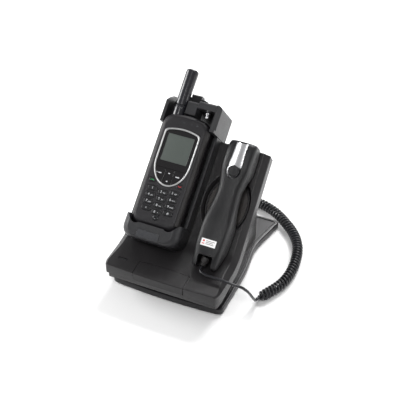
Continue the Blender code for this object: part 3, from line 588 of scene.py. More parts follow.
def slab_stations(start=SHELL_FRONT):
    """The side line of the bent slab: (y, z, tilt) at fine steps."""
    stations = []
    for y in (start, start + 0.4, start + 1.2, -12.0, -8.0, 0.0, 10.0, 20.0, 28.0):
        tilt = PALM_SLOPE * min(1.0, max(0.0, (y - SHELL_FRONT) / 26.0))
        stations.append((y, CREASE_HEIGHT + (y - SHELL_FRONT) * math.tan(PALM_SLOPE), tilt))
    reach = 11.0
    before = Vector((BEND_Y - reach * math.cos(PALM_SLOPE), BEND_Z - reach * math.sin(PALM_SLOPE)))
    corner = Vector((BEND_Y, BEND_Z))
    after = Vector((BEND_Y + reach * math.cos(RECLINE), BEND_Z + reach * math.sin(RECLINE)))
    for k in range(11):
        t = k / 10
        y, z = before * (1 - t) ** 2 + corner * 2 * t * (1 - t) + after * t ** 2
        stations.append((y, z, PALM_SLOPE + (RECLINE - PALM_SLOPE) * t))
    for v in (20.0, 35.0, 50.0, 70.0, 92.0, 112.0, PANEL_LENGTH - 1.2, PANEL_LENGTH - 0.4, PANEL_LENGTH):
        stations.append((BEND_Y + v * math.cos(RECLINE), BEND_Z + v * math.sin(RECLINE), RECLINE))
    return stations


def split_depth(y):
    share = min(1.0, max(0.0, (y + 10.0) / 60.0))
    return FRONT_SHELL + (TOP_SHELL - FRONT_SHELL) * share


def slab_shell(name, upper, lower, inset, start, edge, *args, **kwargs):
    """One shell of the slab, between two depths that depend on the station."""
    rings = []
    stations = slab_stations(start)
    last = len(stations) - 1
    for i, (y, z, tilt) in enumerate(stations):
        end = {0: 1.2, 1: 0.4, last - 1: 0.4, last: 1.2}.get(i, 0.0)
        share = min(1.0, max(0.0, (z - BEND_Z) / 85.0))
        half = PANEL_HALF_WIDTH - inset - 2.6 * share - end
        half -= 3.0 * max(0.0, 1.0 - (y - start) / 10.0) ** 2
        cut_back = edge * min(1.0, 0.25 + 0.75 * (y - start) / 34.0)
        top, low = upper(y) + 0.5 * end, lower(y) - 0.5 * end
        side = [(half - 0.8, low), (half - 0.2, low - 0.2), (half, low - 0.8)]
        drop = 0.8 * cut_back
        side += [(half, top + drop + 0.1 * cut_back), (half - 0.02 * cut_back, top + drop),
                 (half - 0.1 * cut_back, top + drop - 0.08 * cut_back),
                 (half - 0.9 * cut_back, top + 0.08 * cut_back), (half - cut_back, top + 0.015 * cut_back),
                 (half - 1.1 * cut_back, top)]
        crown = [((half - 1.1 * cut_back) * t / 8, top) for t in range(7, -8, -1)]
        profile = side + crown + [(-x, d) for x, d in reversed(side)]
        bow = FRONT_BOW * max(0.0, 1.0 - (y - start) / 14.0)
        ring = []
        for x, depth in profile:
            forward = bow * (1 - (x / PANEL_HALF_WIDTH) ** 2)
            ring.append((x, y + depth * math.sin(tilt) - forward, z - depth * math.cos(tilt)))
        rings.append(ring)
    return loft(name, rings, STAND, *args, **kwargs)


def well_outline(inset=0.0, steps=72):
    turns = [2 * math.pi * k / steps for k in range(steps)]
    across, along = WELL_HALF_WIDTH - inset, WELL_HALF_HEIGHT - inset
    return [(WELL_X + across * math.cos(a), WELL_Y + along * math.sin(a)) for a in turns]


def door_shape(name, grow, reach, *args, **kwargs):
    """The L-shaped front door, or its opening: the same shape, larger by grow and reaching past the faces."""
    rings = []
    rise = math.tan(PALM_SLOPE)
    for x in (-34 - grow, -33.4 - grow / 2, -26, -16, -2, 12, 22, 29.4 + grow / 2, 30 + grow):
        face = SHELL_FRONT - FRONT_BOW * (1 - (x / PANEL_HALF_WIDTH) ** 2)
        inner = face + 2.0 + grow
        back = 3.2 - 2.0 * ((x + 2.0) / 32.0) ** 2 + grow
        if not grow and x in (-34, 30):
            back -= 0.6
        top = CREASE_HEIGHT + (back - face) * rise
        ceiling = CREASE_HEIGHT - 2.0 - grow
        lip = 34.2 - grow
        ring = [(face - reach, lip), (inner, lip), (inner, ceiling), (back, ceiling + (back - inner) * rise),
                (back, top - 0.1 + reach), (face - reach + 0.8, CREASE_HEIGHT + reach),
                (face - reach, CREASE_HEIGHT + reach - 0.8)]
        rings.append([(x, y, z) for y, z in ring])
    return loft(name, rings, STAND, *args, **kwargs)


def make_stand():
    top = slab_shell("stand_cover", lambda y: 0.0, split_depth, 0.0, SHELL_FRONT, 7.0, "shell",
                     replaces=["stand_top_shell"])
    levels = ((-WELL_DEPTH, 3.6), (-7.9, 3.1), (-6.0, 2.6), (-1.0, 1.0), (-0.2, 0.3), (0.1, -0.3), (3, -1))
    well = loft("well_room", stack(well_outline, levels), PANEL)
    settle(top, well, door_shape("door_room", 0.45, 1.5),
           slab("speaker_room", circle(45, 68, 17), -TOP_SHELL - 4, -2, PANEL),
           box("mic_room", (-60.3, -2.8, 45.2), (-48.7, -0.2, 50), STAND))
    rear = slab_shell("stand_rear_cover", lambda y: split_depth(y) + GAP, lambda y: SLAB, 1.2,
                      SHELL_FRONT + 4.0, 0.8, "shell", replaces=["stand_rear_shell"])
    settle(rear, box("rear_room", (-50, 30, -16), (50, 118, -12.5), PANEL))
    door = door_shape("door_cover", 0.0, 0.0, "shell", body="door", replaces=["front_door"])
    settle(door, bevel=0.35, segments=2, angle=30)
    mic = box("mic_slot_insert", (-59.9, -2.3, 45.3), (-49.1, -0.7, 46.0), STAND, "gloss")
    settle(mic, bevel=0.2)
    for x in (-62, 62):
        for v in (20, 118):
            rod("rear_screw", (x, v, -SLAB + 0.1), (x, v, -SLAB - 0.9), [(0, 2.7), (0.6, 2.7), (1, 2.1)],
                PANEL, "steel", steps=24)


def make_grille():
    """A perforated sheet on the well's floor: every cell is a square round a real hole."""
    pitch, radius, floor = 1.75, 0.52, -WELL_DEPTH + 1.9
    points, faces = [], []
    for row in range(-22, 23):
        for column in range(-17, 18):
            x = WELL_X + (column + (0.5 if row % 2 else 0.0)) * pitch
            y = WELL_Y + row * pitch
            if ((x - WELL_X) / 24.0) ** 2 + ((y - WELL_Y) / 33.0) ** 2 > 1.0:
                continue
            start = len(points)
            half = pitch / 2
            around = [(half, 0), (half, half), (0, half), (-half, half), (-half, 0), (-half, -half),
                      (0, -half), (half, -half)]
            points += [(x + a, y + b, floor) for a, b in around]
            for depth, wide in ((0.0, radius), (0.5, radius * 0.9)):
                points += [(x + wide * math.cos(math.pi * k / 4), y + wide * math.sin(math.pi * k / 4),
                            floor - depth) for k in range(8)]
            for k in range(8):
                after = (k + 1) % 8
                for low in (start, start + 8):
                    faces.append([low + k, low + after, low + 8 + after, low + 8 + k])
    sheet = add_mesh("grille_sheet", points, faces, PANEL, "grille")
    with editing(sheet.data) as work:
        bmesh.ops.remove_doubles(work, verts=work.verts, dist=0.02 * MM)
    levels = ((-7.0, 3.4), (-6.2, 3.4), (-5.9, 3.8), (-5.9, 5.4), (-6.3, 5.9), (-7.0, 5.9))
    band("grille_rim", stack(well_outline, levels), PANEL, "shell")
    frame["nodes"]["speaker_grille"].data.materials[0] = PAINT["cloth"]


make_base()
make_stand()
make_grille()


# -------- dock

DOCK = 36.5
CUP_BOTTOM = -114.0
DOCK_FLOOR = -28.2
TUB_BOTTOM = -86.0
PIN_Y, PIN_Z = 67.0, -25.0      # the latch pin's axis
PIN_BORE = [(0, 1.8), (1, 1.8)]


def phone_outline(inset=0.0, steps=10):
    """The phone's front, with an arched top and rounded lower corners."""
    half = 30.0 - inset
    low = -97.0 + inset
    corners = rounded([(-half, low, 11), (half, low, 11), (half, 28, 0), (-half, 28, 0)], steps)
    lower = [p for p in corners if p[1] < 27.9]
    right = refine_line([(half, 28.0), (half - 0.5, 32.6 - inset), (half - 3.0, 36.9 - inset),
                         (half - 7.5, 43.0 - inset - 5.0 * ((half - 7.5) / 30) ** 2)], 4)
    right = [tuple(p) for p in right]
    arch = [((half - 7.5) * (1 - k / 8)) for k in range(1, 16)]
    arch = [(x, 43.0 - inset - 5.0 * (x / 30.0) ** 2) for x in arch]
    left = [(-x, y) for x, y in reversed(right)]
    return lower + right + arch + left


def make_cup():
    """The cup that holds the phone's foot, with a front lip that dips either side of a wide tab."""
    rings = []
    for z, half, bottom, radius in ((-36.7, 35.7, 0.8, 13), (-36.4, 36.2, 0.3, 13), (-35.8, 36.5, 0, 13),
                                    (-8, 36.5, 0, 13), (-5.6, 36.1, 0, 13), (-3.4, 35.2, 0, 13),
                                    (-1.4, 33.9, 0, 13), (0.2, 32.3, 0.1, 13), (1.4, 30.8, 0.6, 12.5),
                                    (2.3, 29.4, 1.3, 12), (2.8, 28.3, 2.1, 11), (3.0, 27.2, 3.0, 10)):
        low = CUP_BOTTOM + bottom
        corners = [(-half, low, radius), (half, low, radius), (half, TUB_BOTTOM - GAP, 0),
                   (-half, TUB_BOTTOM - GAP, 0)]
        rings.append([(x, y, z) for x, y in rounded(corners, 12)])
    cup = loft("cup_cover", rings, PHONE, "dock", replaces=["dock_cup"])
    above = []
    for y, z, tilt in slab_stations():
        above.append((y - 0.6 * math.sin(tilt), z + 0.6 * math.cos(tilt)))
    stand_room = side_slab("stand_room", above + [(160, -20), (-16, -20)], -90, 60, STAND)
    lip = [(40, -80), (-40, -80), (-40, -85.5)]
    left = refine_line([(-33.5, -86.8), (-31.0, -89.2), (-28.2, -93.2), (-25, -96.2), (-21.5, -97.3),
                        (-18.2, -96.8), (-16, -95.5)], 4)
    left = [tuple(p) for p in left]
    lip += left + [(-x, y) for x, y in reversed(left)] + [(40, -85.5)]
    settle(cup, slab("cup_room", phone_outline(-0.8), DOCK_FLOOR, 0.7, PHONE),
           slab("lip_room", lip, -9, 8, PHONE), stand_room,
           box("contact_room", (-7.3, -106, -19), (7.3, -90, -9), PHONE),
           slab("plate_room", rectangle(-14.4, -112.4, 14.4, -102.8, 1.0), 2.5, 8, PHONE), bevel=0.35)
    slab("cup_nameplate", rectangle(-14, -112, 14, -103.2, 0.8, 4), 2.55, 3.4, PHONE, "plate",
         replaces=["cup_plate"], edge=0.3)


def make_cradle():
    """The channel behind the phone, with rounded rails and small locating ribs."""
    tub = slab("cradle_cover", rectangle(-DOCK, TUB_BOTTOM, DOCK, 29.7), -36.7, -18, PHONE, "dock",
               replaces=["dock_cradle"])
    settle(tub, box("tub_room", (-32.5, TUB_BOTTOM - 5, DOCK_FLOOR), (32.5, 40, 5), PHONE), bevel=0.9,
           segments=3)
    for side in (-1, 1):
        for y in (-70, -45, -20, 5):
            low, high = sorted((side * 32.45, side * 31.6))
            rib = box("cradle_rib", (low, y, -27.5), (high, y + 3, -19.5), PHONE, "dock")
            settle(rib, bevel=0.3)


def make_head():
    """The head above the phone: left ear, right wall with its chamfer, brow, antenna column and lugs."""
    top = 63.0
    back = rounded([(-DOCK, 30, 0), (DOCK, 30, 0), (DOCK, top, 4), (-DOCK, top, 4)], 8)
    head = slab("head_cover", back, -55, -34, PHONE, "dock", replaces=["dock_head"], foot=3.5)
    outer = rounded([(30.8, 30, 0), (DOCK, 30, 0), (DOCK, top, 4), (30.8, top, 0)], 8)
    ear = [(30, -36), (67, -36), (67, -27), (62, -16), (57, -8), (30, -8)]
    brow = [(54, -36), (top, -36), (top, -0.6), (60.9, 2), (54, 2)]
    column = [(44.8, -36), (62.9, -36), (62.9, -12.4), (60.9, -10), (46.4, -10), (44.8, -15)]
    lug = [(58, -36), (66, -36), (70.0, -30), (70.6, -27), (70.6, -23.5), (69.6, -21.5), (58, -21.3)]
    settle(head, slab("wall", outer, -37, 2, PHONE), side_slab("ear", ear, -36.5, -32.7, PHONE),
           side_slab("brow", brow, 8, 32.2, PHONE), side_slab("column", column, -10, 3.2, PHONE),
           side_slab("lug_left", lug, -13.4, -11.2, PHONE), side_slab("lug_right", lug, 2.4, 5.4, PHONE),
           operation='UNION')
    chamfer = [(31.2, 3), (38, 3), (38, -5.5)]
    settle(head, loft("chamfer", [[(x, y, z) for x, z in chamfer] for y in (70, 33)], PHONE),
           box("brow_room", (9.5, 46.5, -30), (29.5, 54.8, -12), PHONE),
           rod("pin_bore", (-13.5, PIN_Y, PIN_Z), (5.5, PIN_Y, PIN_Z), PIN_BORE, PHONE, steps=20),
           bevel=0.9, segments=3, angle=35)


def make_latch():
    """The ribbed latch lever, its pin and the pin's knurled knob."""
    side = [(64.6, -30), (72, -30.5), (73.6, -28.5), (73.6, -19.5), (72, -17.5), (64.4, -20.5)]
    lever = side_slab("latch_cover", side, -10.8, 2, PHONE, "dock", body="latch",
                      replaces=["latch_lever"])
    starts = (-9.2, -7.2, -5.2, -3.2, -1.2)
    grooves = [box("groove", (x, 72.9, -40), (x + 0.8, 80, -10), PHONE) for x in starts]
    settle(lever, *grooves,
           rod("lever_bore", (-14, PIN_Y, PIN_Z), (4, PIN_Y, PIN_Z), PIN_BORE, PHONE, steps=20),
           bevel=0.3)
    rod("pin_cover", (-12.6, PIN_Y, PIN_Z), (4.6, PIN_Y, PIN_Z),
        [(0, 1.2), (0.02, 1.5), (0.98, 1.5), (1, 1.2)], PHONE, "steel", replaces=["latch_pin"], steps=20)
    rings = []
    for x, radius in ((5.5, 2.4), (5.8, 2.8), (8.2, 2.8), (8.6, 2.3)):
        ring = []
        for k in range(36):
            a = 2 * math.pi * k / 36
            knurl = radius - (0.3 if k % 2 else 0.0)
            ring.append((x, PIN_Y + knurl * math.cos(a), PIN_Z + knurl * math.sin(a)))
        rings.append(ring)
    loft("pin_knob", rings, PHONE, "dock", smooth=20)


def make_connector():
    rod("connector_cover", (18, 53.7, -14), (18, 47, -14),
        [(0, 3.6), (0.3, 3.6), (0.33, 3.2), (0.36, 2.6), (0.5, 2.6), (0.52, 2.4), (0.56, 2.6), (0.62, 2.4),
         (0.66, 2.6), (0.95, 2.5), (1, 2.2)], PHONE, "steel", replaces=["antenna_connector"])


make_cup()
make_cradle()
make_head()
make_latch()
make_connector()


# -------- phone

KEY_ROWS = (("1", ""), ("2", "abc"), ("3", "def"), ("4", "ghi"), ("5", "jkl"), ("6", "mno"),
            ("7", "pqrs"), ("8", "tuv"), ("9", "wxyz"), ("*", ""), ("0", "+"), ("#", ""))
KEY_NAMES = ("1", "2", "3", "4", "5", "6", "7", "8", "9", "star", "0", "hash")
CALL_X, CALL_Y = 17.6, -42.4    # the end key's centre; the call key mirrors it
MIC_X, MIC_Y = 1.2, -84.9
ANTENNA_X, ANTENNA_Z = -18.2, -13.5
KEY_SIGN = 0.46                 # the height of a key's marks
LENS_SIGN = 0.32                # the height of the marks on the glossy keys


def key_places():
    places = [("call_key", -CALL_X, CALL_Y, 8.6, 5.2), ("end_key", CALL_X, CALL_Y, 8.6, 5.2)]
    for k, label in enumerate(KEY_NAMES):
        row, column = divmod(k, 3)
        dip = 2.0 if column == 1 else 0.0
        places.append(("key_" + label, (column - 1) * 14.0, -51.8 - row * 8.2 - dip, 12.4, 6.2))
    return places


def ring_outline(inset=0.0):
    """The shield-shaped ring round the display and the navigation keys."""
    half, top, bottom = 22.6 - inset, 21.0 - inset, -46.2 + inset
    points = []
    for k in range(21):
        x = (half - 2.4) * (1 - k / 10)
        points.append((x, top + 4.2 * (1 - (x / 22.6) ** 2)))
    turn = [(-half + 1.3, top - 0.1), (-half + 0.4, top - 1.0), (-half, top - 2.4)]
    points += turn + [(-half, top - 12), (-half, -8.0)]
    for k in range(1, 36):
        a = math.pi + math.pi * k / 36
        points.append((half * math.cos(a), -16.0 - (bottom + 16.0) * math.sin(a)))
    return points + [(half, -8.0), (half, top - 12)] + [(-x, y) for x, y in reversed(turn)]


def draw_text(name, words, x, y, height, body):
    """Flat raised lettering on a key."""
    data = bpy.data.curves.new(name, 'FONT')
    data.body = words
    data.size = height * MM
    data.align_x = 'CENTER'
    data.align_y = 'CENTER'
    data.extrude = 0.03 * MM
    data.resolution_u = 3
    holder = add_object(name + "_type", data)
    bpy.context.view_layer.update()
    made = holder.evaluated_get(bpy.context.evaluated_depsgraph_get())
    mesh = bpy.data.meshes.new_from_object(made)
    bpy.data.objects.remove(holder)
    with editing(mesh) as work:
        bmesh.ops.remove_doubles(work, verts=work.verts, dist=0.01 * MM)
        bmesh.ops.dissolve_degenerate(work, edges=work.edges, dist=0.01 * MM)
    mesh.transform(PHONE @ Matrix.Translation((x, y, KEY_SIGN)) @ Matrix.Scale(1 / MM, 4))
    mesh.materials.clear()
    mesh.materials.append(PAINT["legend"])
    piece = add_object(name, mesh)
    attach(piece, body)


def mark(name, outline, paint, body, z):
    """A thin printed sign, which belongs to no slot."""
    slab(name, outline, z - 0.05, z + 0.05, PHONE, paint, body=body, slot="")


def antenna_room():
    start, end = (Vector((ANTENNA_X, y, ANTENNA_Z)) for y in (28, 60))
    return rod("antenna_room", start, end, [(0, 7.7), (1, 7.7)], PHONE)


def make_front():
    """The phone's front shell, with openings for its keys, ring, mic cap, antenna and grips."""
    levels = ((-11.0, 0.6), (-10.8, 0.2), (-10.4, 0.0), (-5.5, 0.0), (-4.4, 0.25), (-3.4, 0.7), (-2.4, 1.4),
              (-1.6, 2.1), (-0.9, 3.0), (-0.35, 4.0), (-0.08, 5.0), (0.0, 6.2))
    front = loft("front_cover", stack(phone_outline, levels), PHONE, "phone", body="phone",
                 replaces=["phone_front_shell"])
    holes = []
    for name, x, y, w, h in key_places():
        hole = rectangle(x - w / 2 - GAP, y - h / 2 - GAP, x + w / 2 + GAP, y + h / 2 + GAP, h / 2 - 0.1, 5)
        holes.append(slab("hole_" + name, hole, -3.4, 3, PHONE))
    for side in (-1, 1):
        room = [(side * x, z) for x, z in ((26.2, -10.3), (33, -10.3), (33, 1), (26.2, 1))]
        holes.append(loft("grip_room", [[(x, y, z) for x, z in room] for y in (-88.3, 30.3)], PHONE))
    settle(front, slab("ring_room", ring_outline(-GAP), -2.4, 3, PHONE),
           slab("mic_cap_room", circle(MIC_X, MIC_Y, 3.7), -1.9, 3, PHONE),
           antenna_room(), *holes, bevel=0.22, angle=38)


def make_back():
    levels = ((-27.0, 6.0), (-26.9, 4.6), (-26.5, 3.2), (-25.7, 2.1), (-24.6, 1.4), (-23.0, 0.9),
              (-21.0, 0.6), (-11.8, 0.6), (-11.4, 0.9))
    rear = loft("back_cover", stack(phone_outline, levels), PHONE, "phone", body="phone",
                replaces=["phone_rear_shell"])
    settle(rear, antenna_room(),
           slab("pack_seam", rectangle(-22.3, -84.3, 22.3, 4.3, 3), -30, -26.6, PHONE))
    slab("battery_door", rectangle(-22, -84, 22, 4, 3), -26.85, -26.55, PHONE, "phone", body="phone",
         edge=0.2)
    slab("battery_catch", rectangle(-7, -3, 7, 1.5, 1.5), -27.4, -26.7, PHONE, "gloss", body="phone",
         edge=0.3)


def make_grips():
    """The rubber grips along the phone's sides, with a knurl of slanted ribs."""
    for word, side in (("left", -1), ("right", 1)):
        section = [(26.5, -10.0), (29.4, -10.0)]
        section += [(29.95, -9.5), (30.0, -8.0), (30.0, -6.8), (29.9, -5.6), (29.6, -4.4), (29.2, -3.4),
                    (28.6, -2.5), (27.9, -1.7), (27.2, -1.2), (26.5, -0.9)]
        rings = []
        pitch, low, high = 2.2, -88.0, 30.0
        count = int((high - low) / pitch * 6)
        for i in range(count + 1):
            y = low + (high - low) * i / count
            ring = []
            for k, (x, z) in enumerate(section):
                deep = 0.0
                if 2 <= k <= 10 and -84 < y < 14:
                    wave = math.cos(2 * math.pi * (y / pitch + k * 0.22))
                    other = math.cos(2 * math.pi * (y / pitch - k * 0.22))
                    deep = 0.28 * max(0.0, 0.55 - max(wave, other))
                out = Vector((x - 22.0, z + 8.0)).normalized() * deep
                ring.append((side * (x - out.x), y, z - out.y))
            rings.append(ring)
        loft("grip_cover_" + word, rings, PHONE, "rubber", body="phone",
             replaces=["side_grip_" + word], smooth=50)


def make_window():
    """The bright ring, the black lens with the display behind it, and the navigation keys."""
    levels = [(-2.0, 0.0), (0.02, 0.0), (0.05, 0.4), (0.5, 0.45), (0.74, 0.6), (0.8, 0.85), (0.74, 1.1),
              (0.5, 1.25), (0.05, 1.3), (0.02, 1.8), (-2.0, 1.8)]
    band("ring_cover", stack(ring_outline, levels), PHONE, "chrome", body="phone",
         replaces=["display_ring"], smooth=60)
    lens = slab("lens_cover", ring_outline(2.0), -2.3, 0.12, PHONE, "glass", body="phone",
                replaces=["display_surround"], edge=0.2)
    settle(lens, box("lens_limit", (-30, -60, -9), (30, -24.8, 9), PHONE),
           slab("display_room", rectangle(-16.9, -16.9, 16.9, 16.9, 0.8), -0.7, 3, PHONE), bevel=0.12)
    slab("display_cover", rectangle(-16.8, -16.8, 16.8, 16.8, 0.7), -1.0, -0.18, PHONE, "display",
         body="phone", replaces=["lcd_panel"], edge=0.1)
    limits = (("soft_key_left", -30, -5.7), ("nav_key", -5.3, 5.3), ("soft_key_right", 5.7, 30))
    for name, low, high in limits:
        key = slab(name + "_cover", ring_outline(2.1), -1.6, 0.3, PHONE, "glass", body=name,
                   replaces=[name], edge=0.3)
        keep = box(name + "_limit", (low, -60, -9), (high, -25.2, 9), PHONE)
        settle(key, keep, operation='INTERSECT', bevel=0.25, segments=3)


def make_keys():
    levels = ((-2.6, 0.0), (-0.3, 0.0), (0.05, 0.12), (0.25, 0.4), (0.38, 0.9), (0.43, 1.6))
    for name, x, y, w, h in key_places():
        outline = rectangle(x - w / 2, y - h / 2, x + w / 2, y + h / 2, h / 2 - 0.4, 6)
        loft(name + "_cover", stack(lambda inset: shrink(outline, inset), levels), PHONE, "key", body=name,
             replaces=[name], smooth=60)
    for (name, x, y, w, h), (digit, letters) in zip(key_places()[2:], KEY_ROWS):
        shift = -2.2 if letters else 0.0
        draw_text(name + "_digit", digit, x + shift, y - (0.9 if digit == "*" else 0), 4.0, name)
        if letters:
            draw_text(name + "_letters", letters, x + 1.9, y - 0.3, 2.3, name)
    for name, x, paint, flip in (("call_key", -CALL_X, "green", 1), ("end_key", CALL_X, "red", -1)):
        middle = CALL_Y - 0.9 * flip
        turns = [math.pi * k / 10 for k in range(11)]
        arc = [(x + 2.2 * math.cos(a), middle + 1.5 * flip * math.sin(a)) for a in turns]
        inner = [(x + 1.5 * math.cos(a), middle + 0.8 * flip * math.sin(a)) for a in reversed(turns)]
        outline = arc + inner
        if signed_area(outline) < 0:
            outline = outline[::-1]
        mark(name + "_sign", outline, paint, name, KEY_SIGN)
    signs = (("soft_left_sign", rectangle(-13.4, -32.7, -9.4, -31.5, 0.4, 3), "soft_key_left"),
             ("soft_left_dot", circle(-15.2, -32.1, 0.6, 16), "soft_key_left"),
             ("soft_right_sign", rectangle(8.8, -32.9, 12.4, -31.9, 0.3, 3), "soft_key_right"),
             ("soft_right_tip", [(12.4, -33.5), (13.9, -32.4), (12.4, -31.3)], "soft_key_right"),
             ("nav_up_sign", rectangle(-1.1, -30.9, 1.1, -29.7, 0.4, 3), "nav_key"),
             ("nav_down_sign", rectangle(-0.6, -40.9, 1.0, -39.5, 0.4, 3), "nav_key"))
    for name, outline, body in signs:
        mark(name, outline, "legend", body, LENS_SIGN)
    for x, w in ((-2.4, 3.2), (7.3, 2.6), (14.5, 2.6)):
        mark("top_sign", rectangle(x - w / 2, 32.0, x + w / 2, 33.6, 0.6, 3), "plate", "phone", 0.0)


def make_mic_and_antenna():
    rod("mic_cover", (MIC_X, MIC_Y, -1.6), (MIC_X, MIC_Y, 0.45),
        [(0, 3.3), (0.75, 3.3), (0.9, 3.1), (1, 2.6), (0.99, 1.4), (0.8, 1.0), (0.5, 0.9)], PHONE, "gloss",
        body="phone", replaces=["mic_cap"])
    def axis(y):
        return ANTENNA_X, y, ANTENNA_Z

    rod("collar_cover", axis(41.0), axis(54.5),
        [(0, 7.2), (0.72, 7.4), (0.76, 7.0), (0.8, 7.0), (0.84, 7.4), (0.96, 7.3), (1, 6.9)], PHONE,
        "antenna", body="phone", replaces=["antenna_collar"])
    profile = [(0, 6.8), (0.01, 7.2), (0.03, 7.5), (0.93, 7.9), (0.955, 7.75), (0.975, 7.2), (0.988, 6.5),
               (0.996, 5.6), (1.0, 4.2)]
    sleeve = rod("antenna_cover", axis(54.8), axis(100.5), profile, PHONE, "antenna", body="antenna",
                 replaces=["antenna"], steps=56)
    mast = rod("mast", axis(8.0), axis(56.0), [(0, 2.4), (1, 2.4)], PHONE, steps=28)
    settle(sleeve, mast, operation='UNION')


make_front()
make_back()
make_grips()
make_window()
make_keys()
make_mic_and_antenna()


# -------- handset

HANDSET_STATIONS = (
    # y, half width, back, underside, parting line
    (-77.0, 12.6, 25.5, 17.0, 20.0), (-75.5, 14.0, 27.0, 16.0, 19.5), (-68.0, 15.6, 29.5, 11.5, 17.6),
    (-58.0, 17.0, 31.0, 5.0, 16.0), (-50.0, 17.6, 31.6, 1.4, 15.0), (-30.0, 18.0, 31.6, 0.9, 15.0),
    (-18.0, 17.2, 30.6, 1.6, 15.0), (-8.0, 16.0, 29.4, 8.0, 15.4), (6.0, 14.6, 28.2, 10.5, 15.8),
    (18.0, 14.2, 28.0, 10.5, 15.8), (30.0, 15.6, 28.8, 8.0, 15.4), (40.0, 17.4, 30.0, 1.6, 15.0),
    (48.0, 18.0, 30.8, 0.9, 15.0), (62.0, 18.0, 30.6, 0.9, 15.0), (72.0, 17.4, 29.0, 1.6, 15.0),
    (75.8, 16.6, 27.0, 3.0, 15.0), (77.0, 15.0, 25.2, 5.0, 15.0))


def handset_shell(name, upper, *args, **kwargs):
    rings = []
    for y, half, back, under, parting in HANDSET_STATIONS:
        if upper:
            low, high = parting + GAP / 2, back
            rise = high - low
            side = [(half - 0.3, low), (half, low + 0.5), (half, low + rise * 0.45),
                    (half - 1.5, high - 3.2), (half - 4.6, high - 0.9)]
            arc = [(half * 0.45, high + 0.1), (0.0, high + 0.5), (-half * 0.45, high + 0.1)]
        else:
            low, high = parting - GAP / 2, under
            rise = low - high
            side = [(half - 0.3, low), (half, low - 0.5), (half, low - rise * 0.6),
                    (half - 1.2, high + rise * 0.12), (half - 3.6, high)]
            arc = [(half * 0.4, high), (0.0, high), (-half * 0.4, high)]
        ring = side + arc + [(-x, z) for x, z in reversed(side)]
        rings.append([(x, y, z) for x, z in ring])
    last = len(rings[0]) - 1
    return smooth_loft(name, rings, 3, 4, {0, last}, HANDSET, *args, body="handset", **kwargs)


def keyhole(inset=0.0):
    """The recess that runs from the handset's top end down to its round button."""
    width, turn = 7.0 - inset, 9.2 - inset
    arc = []
    for k in range(25):
        a = math.radians(150 + 240 * k / 24)
        arc.append((turn * math.cos(a), 40.0 + turn * math.sin(a)))
    right = [tuple(p) for p in refine_line([(turn * 0.866, 44.6 - inset / 2), (8.3 - inset, 50.0),
                                            (7.5 - inset, 60.0), (width, 82.0)], 5)][1:]
    return arc + right + [(-x, y) for x, y in reversed(right)]


def fork_room():
    return slab("fork_room", rectangle(-8.8, -90, 9.2, -63.5, 2.5), -5, 50, HANDSET)


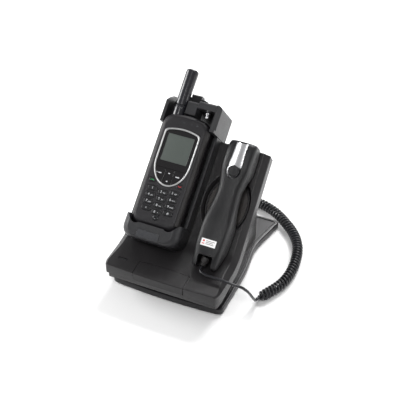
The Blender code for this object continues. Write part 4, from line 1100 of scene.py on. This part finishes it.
def make_handset():
    back = handset_shell("handset_back", True, "handset", replaces=["handset_back_shell"])
    face = handset_shell("handset_face", False, "handset", replaces=["handset_face_shell"])
    settle(back, slab("keyhole_room", keyhole(), 24.7, 45, HANDSET),
           fork_room(), bevel=0.5, segments=3)
    settle(face, fork_room(), slab("ear_room", circle(0, 56, 11), -3, 5.3, HANDSET),
           slab("mouth_room", circle(0, -38, 9), -3, 4.3, HANDSET), bevel=0.4)
    rings = []
    sags = ((31.2, 0.3), (33, 0.7), (36, 1.1), (40, 1.4), (47, 1.6), (55, 1.6), (64, 1.5), (74.8, 1.3))
    for y, sag in sags:
        width = 8.7 if y < 45 else 8.7 - 1.8 * min(1.0, (y - 45) / 25)
        if y < 40:
            width = math.sqrt(9.1 ** 2 - (40 - y) ** 2) * 0.96
        row = [(width * t / 8, y, 27.3 - sag * (1 - (t / 8) ** 2)) for t in range(8, -9, -1)]
        rings.append(row + [(-width, y, 25.0), (width, y, 25.0)])
    loft("inlay_cover", rings, HANDSET, "inlay", body="handset", replaces=["handset_inlay"], smooth=60)
    levels = ((29.0, 0.0), (30.4, 0.0), (30.9, 0.15), (31.2, 0.5), (31.35, 1.2), (31.2, 2.6), (31.0, 4.0),
              (30.95, 5.6))
    loft("button_cover", stack(lambda inset: circle(0, 40, 6.8 - inset, 48), levels), HANDSET, "handset",
         body="hook_button", replaces=["handset_button"], smooth=50)
    relief = [(0, 4.9), (0.5, 4.9), (0.54, 4.6), (0.56, 4.2), (0.64, 4.2), (0.66, 3.7), (0.70, 3.7),
              (0.72, 4.1), (0.78, 4.1), (0.80, 3.6), (0.84, 3.6), (0.86, 3.9), (0.92, 3.9), (0.95, 3.5),
              (1, 2.6)]
    rod("relief_cover", (-0.8, -64.9, 20.9), (-3.0, -75.0, 19.6), relief, HANDSET, "rubber", body="handset",
        replaces=["strain_relief"])
    slab("handset_label", rectangle(-9.6, -53.3, 8.7, -45.0, 0.4, 3), 31.4, 32.3, HANDSET, "label",
         body="handset")
    printed = [("label_line", rectangle(x0, y - 0.35, x1, y + 0.35), "ink")
               for x0, x1, y in ((-3.6, 7.0, -47.2), (-3.6, 5.4, -49.0), (-3.6, 6.6, -50.8))]
    printed += [("label_spot", circle(-6.6, -47.6, 1.2, 20), "red ink"),
                ("label_bar", rectangle(-8.2, -51.4, -5.0, -50.4), "red ink")]
    for name, outline, paint in printed:
        slab(name, outline, 32.29, 32.34, HANDSET, paint, body="handset")
    for y, reach in ((56, 3), (-38, 2)):
        for i in range(-reach, reach + 1):
            for j in range(-reach, reach + 1):
                if i * i + j * j <= reach * reach:
                    hole = circle(i * 2.2, y + j * 2.2, 0.6, 10)
                    slab("listening_hole", hole, 0.40, 0.65, HANDSET, "cloth", body="handset")


make_handset()


# -------- floor and light

def make_stage():
    half, below = 3.0, -0.0002
    mesh = bpy.data.meshes.new("floor")
    corners = [(-half, -half, below), (half, -half, below), (half, half, below), (-half, half, below)]
    mesh.from_pydata(corners, [], [[0, 1, 2, 3]])
    floor = add_object("floor", mesh)
    mesh.materials.append(plastic("floor paint", (0.96, 0.96, 0.96), 0.7, mottle=0.004))
    world = bpy.data.worlds.new("studio")
    world.use_nodes = True
    world.node_tree.nodes["Background"].inputs["Color"].default_value = (1, 1, 1, 1)
    world.node_tree.nodes["Background"].inputs["Strength"].default_value = 0.35
    bpy.context.scene.world = world


def area_light(name, place, aim, size, power):
    data = bpy.data.lights.new(name, 'AREA')
    data.shape = 'RECTANGLE'
    data.size, data.size_y = size
    data.energy = power
    light = add_object(name, data)
    light.location = place
    light.rotation_euler = (Vector(aim) - Vector(place)).to_track_quat('-Z', 'Y').to_euler()


make_stage()
area_light("back light", (0.15, 1.10, 1.25), (0, 0, 0.06), (0.9, 0.5), 28.0)
area_light("left light", (-1.25, -0.25, 0.66), (0, 0, 0.12), (1.0, 0.5), 18.0)
area_light("front light", (0.22, -0.85, 1.30), (0, 0, 0.10), (0.25, 0.25), 6.0)
area_light("right light", (1.35, 0.02, 0.30), (0, 0, 0.10), (0.5, 0.3), 3.0)
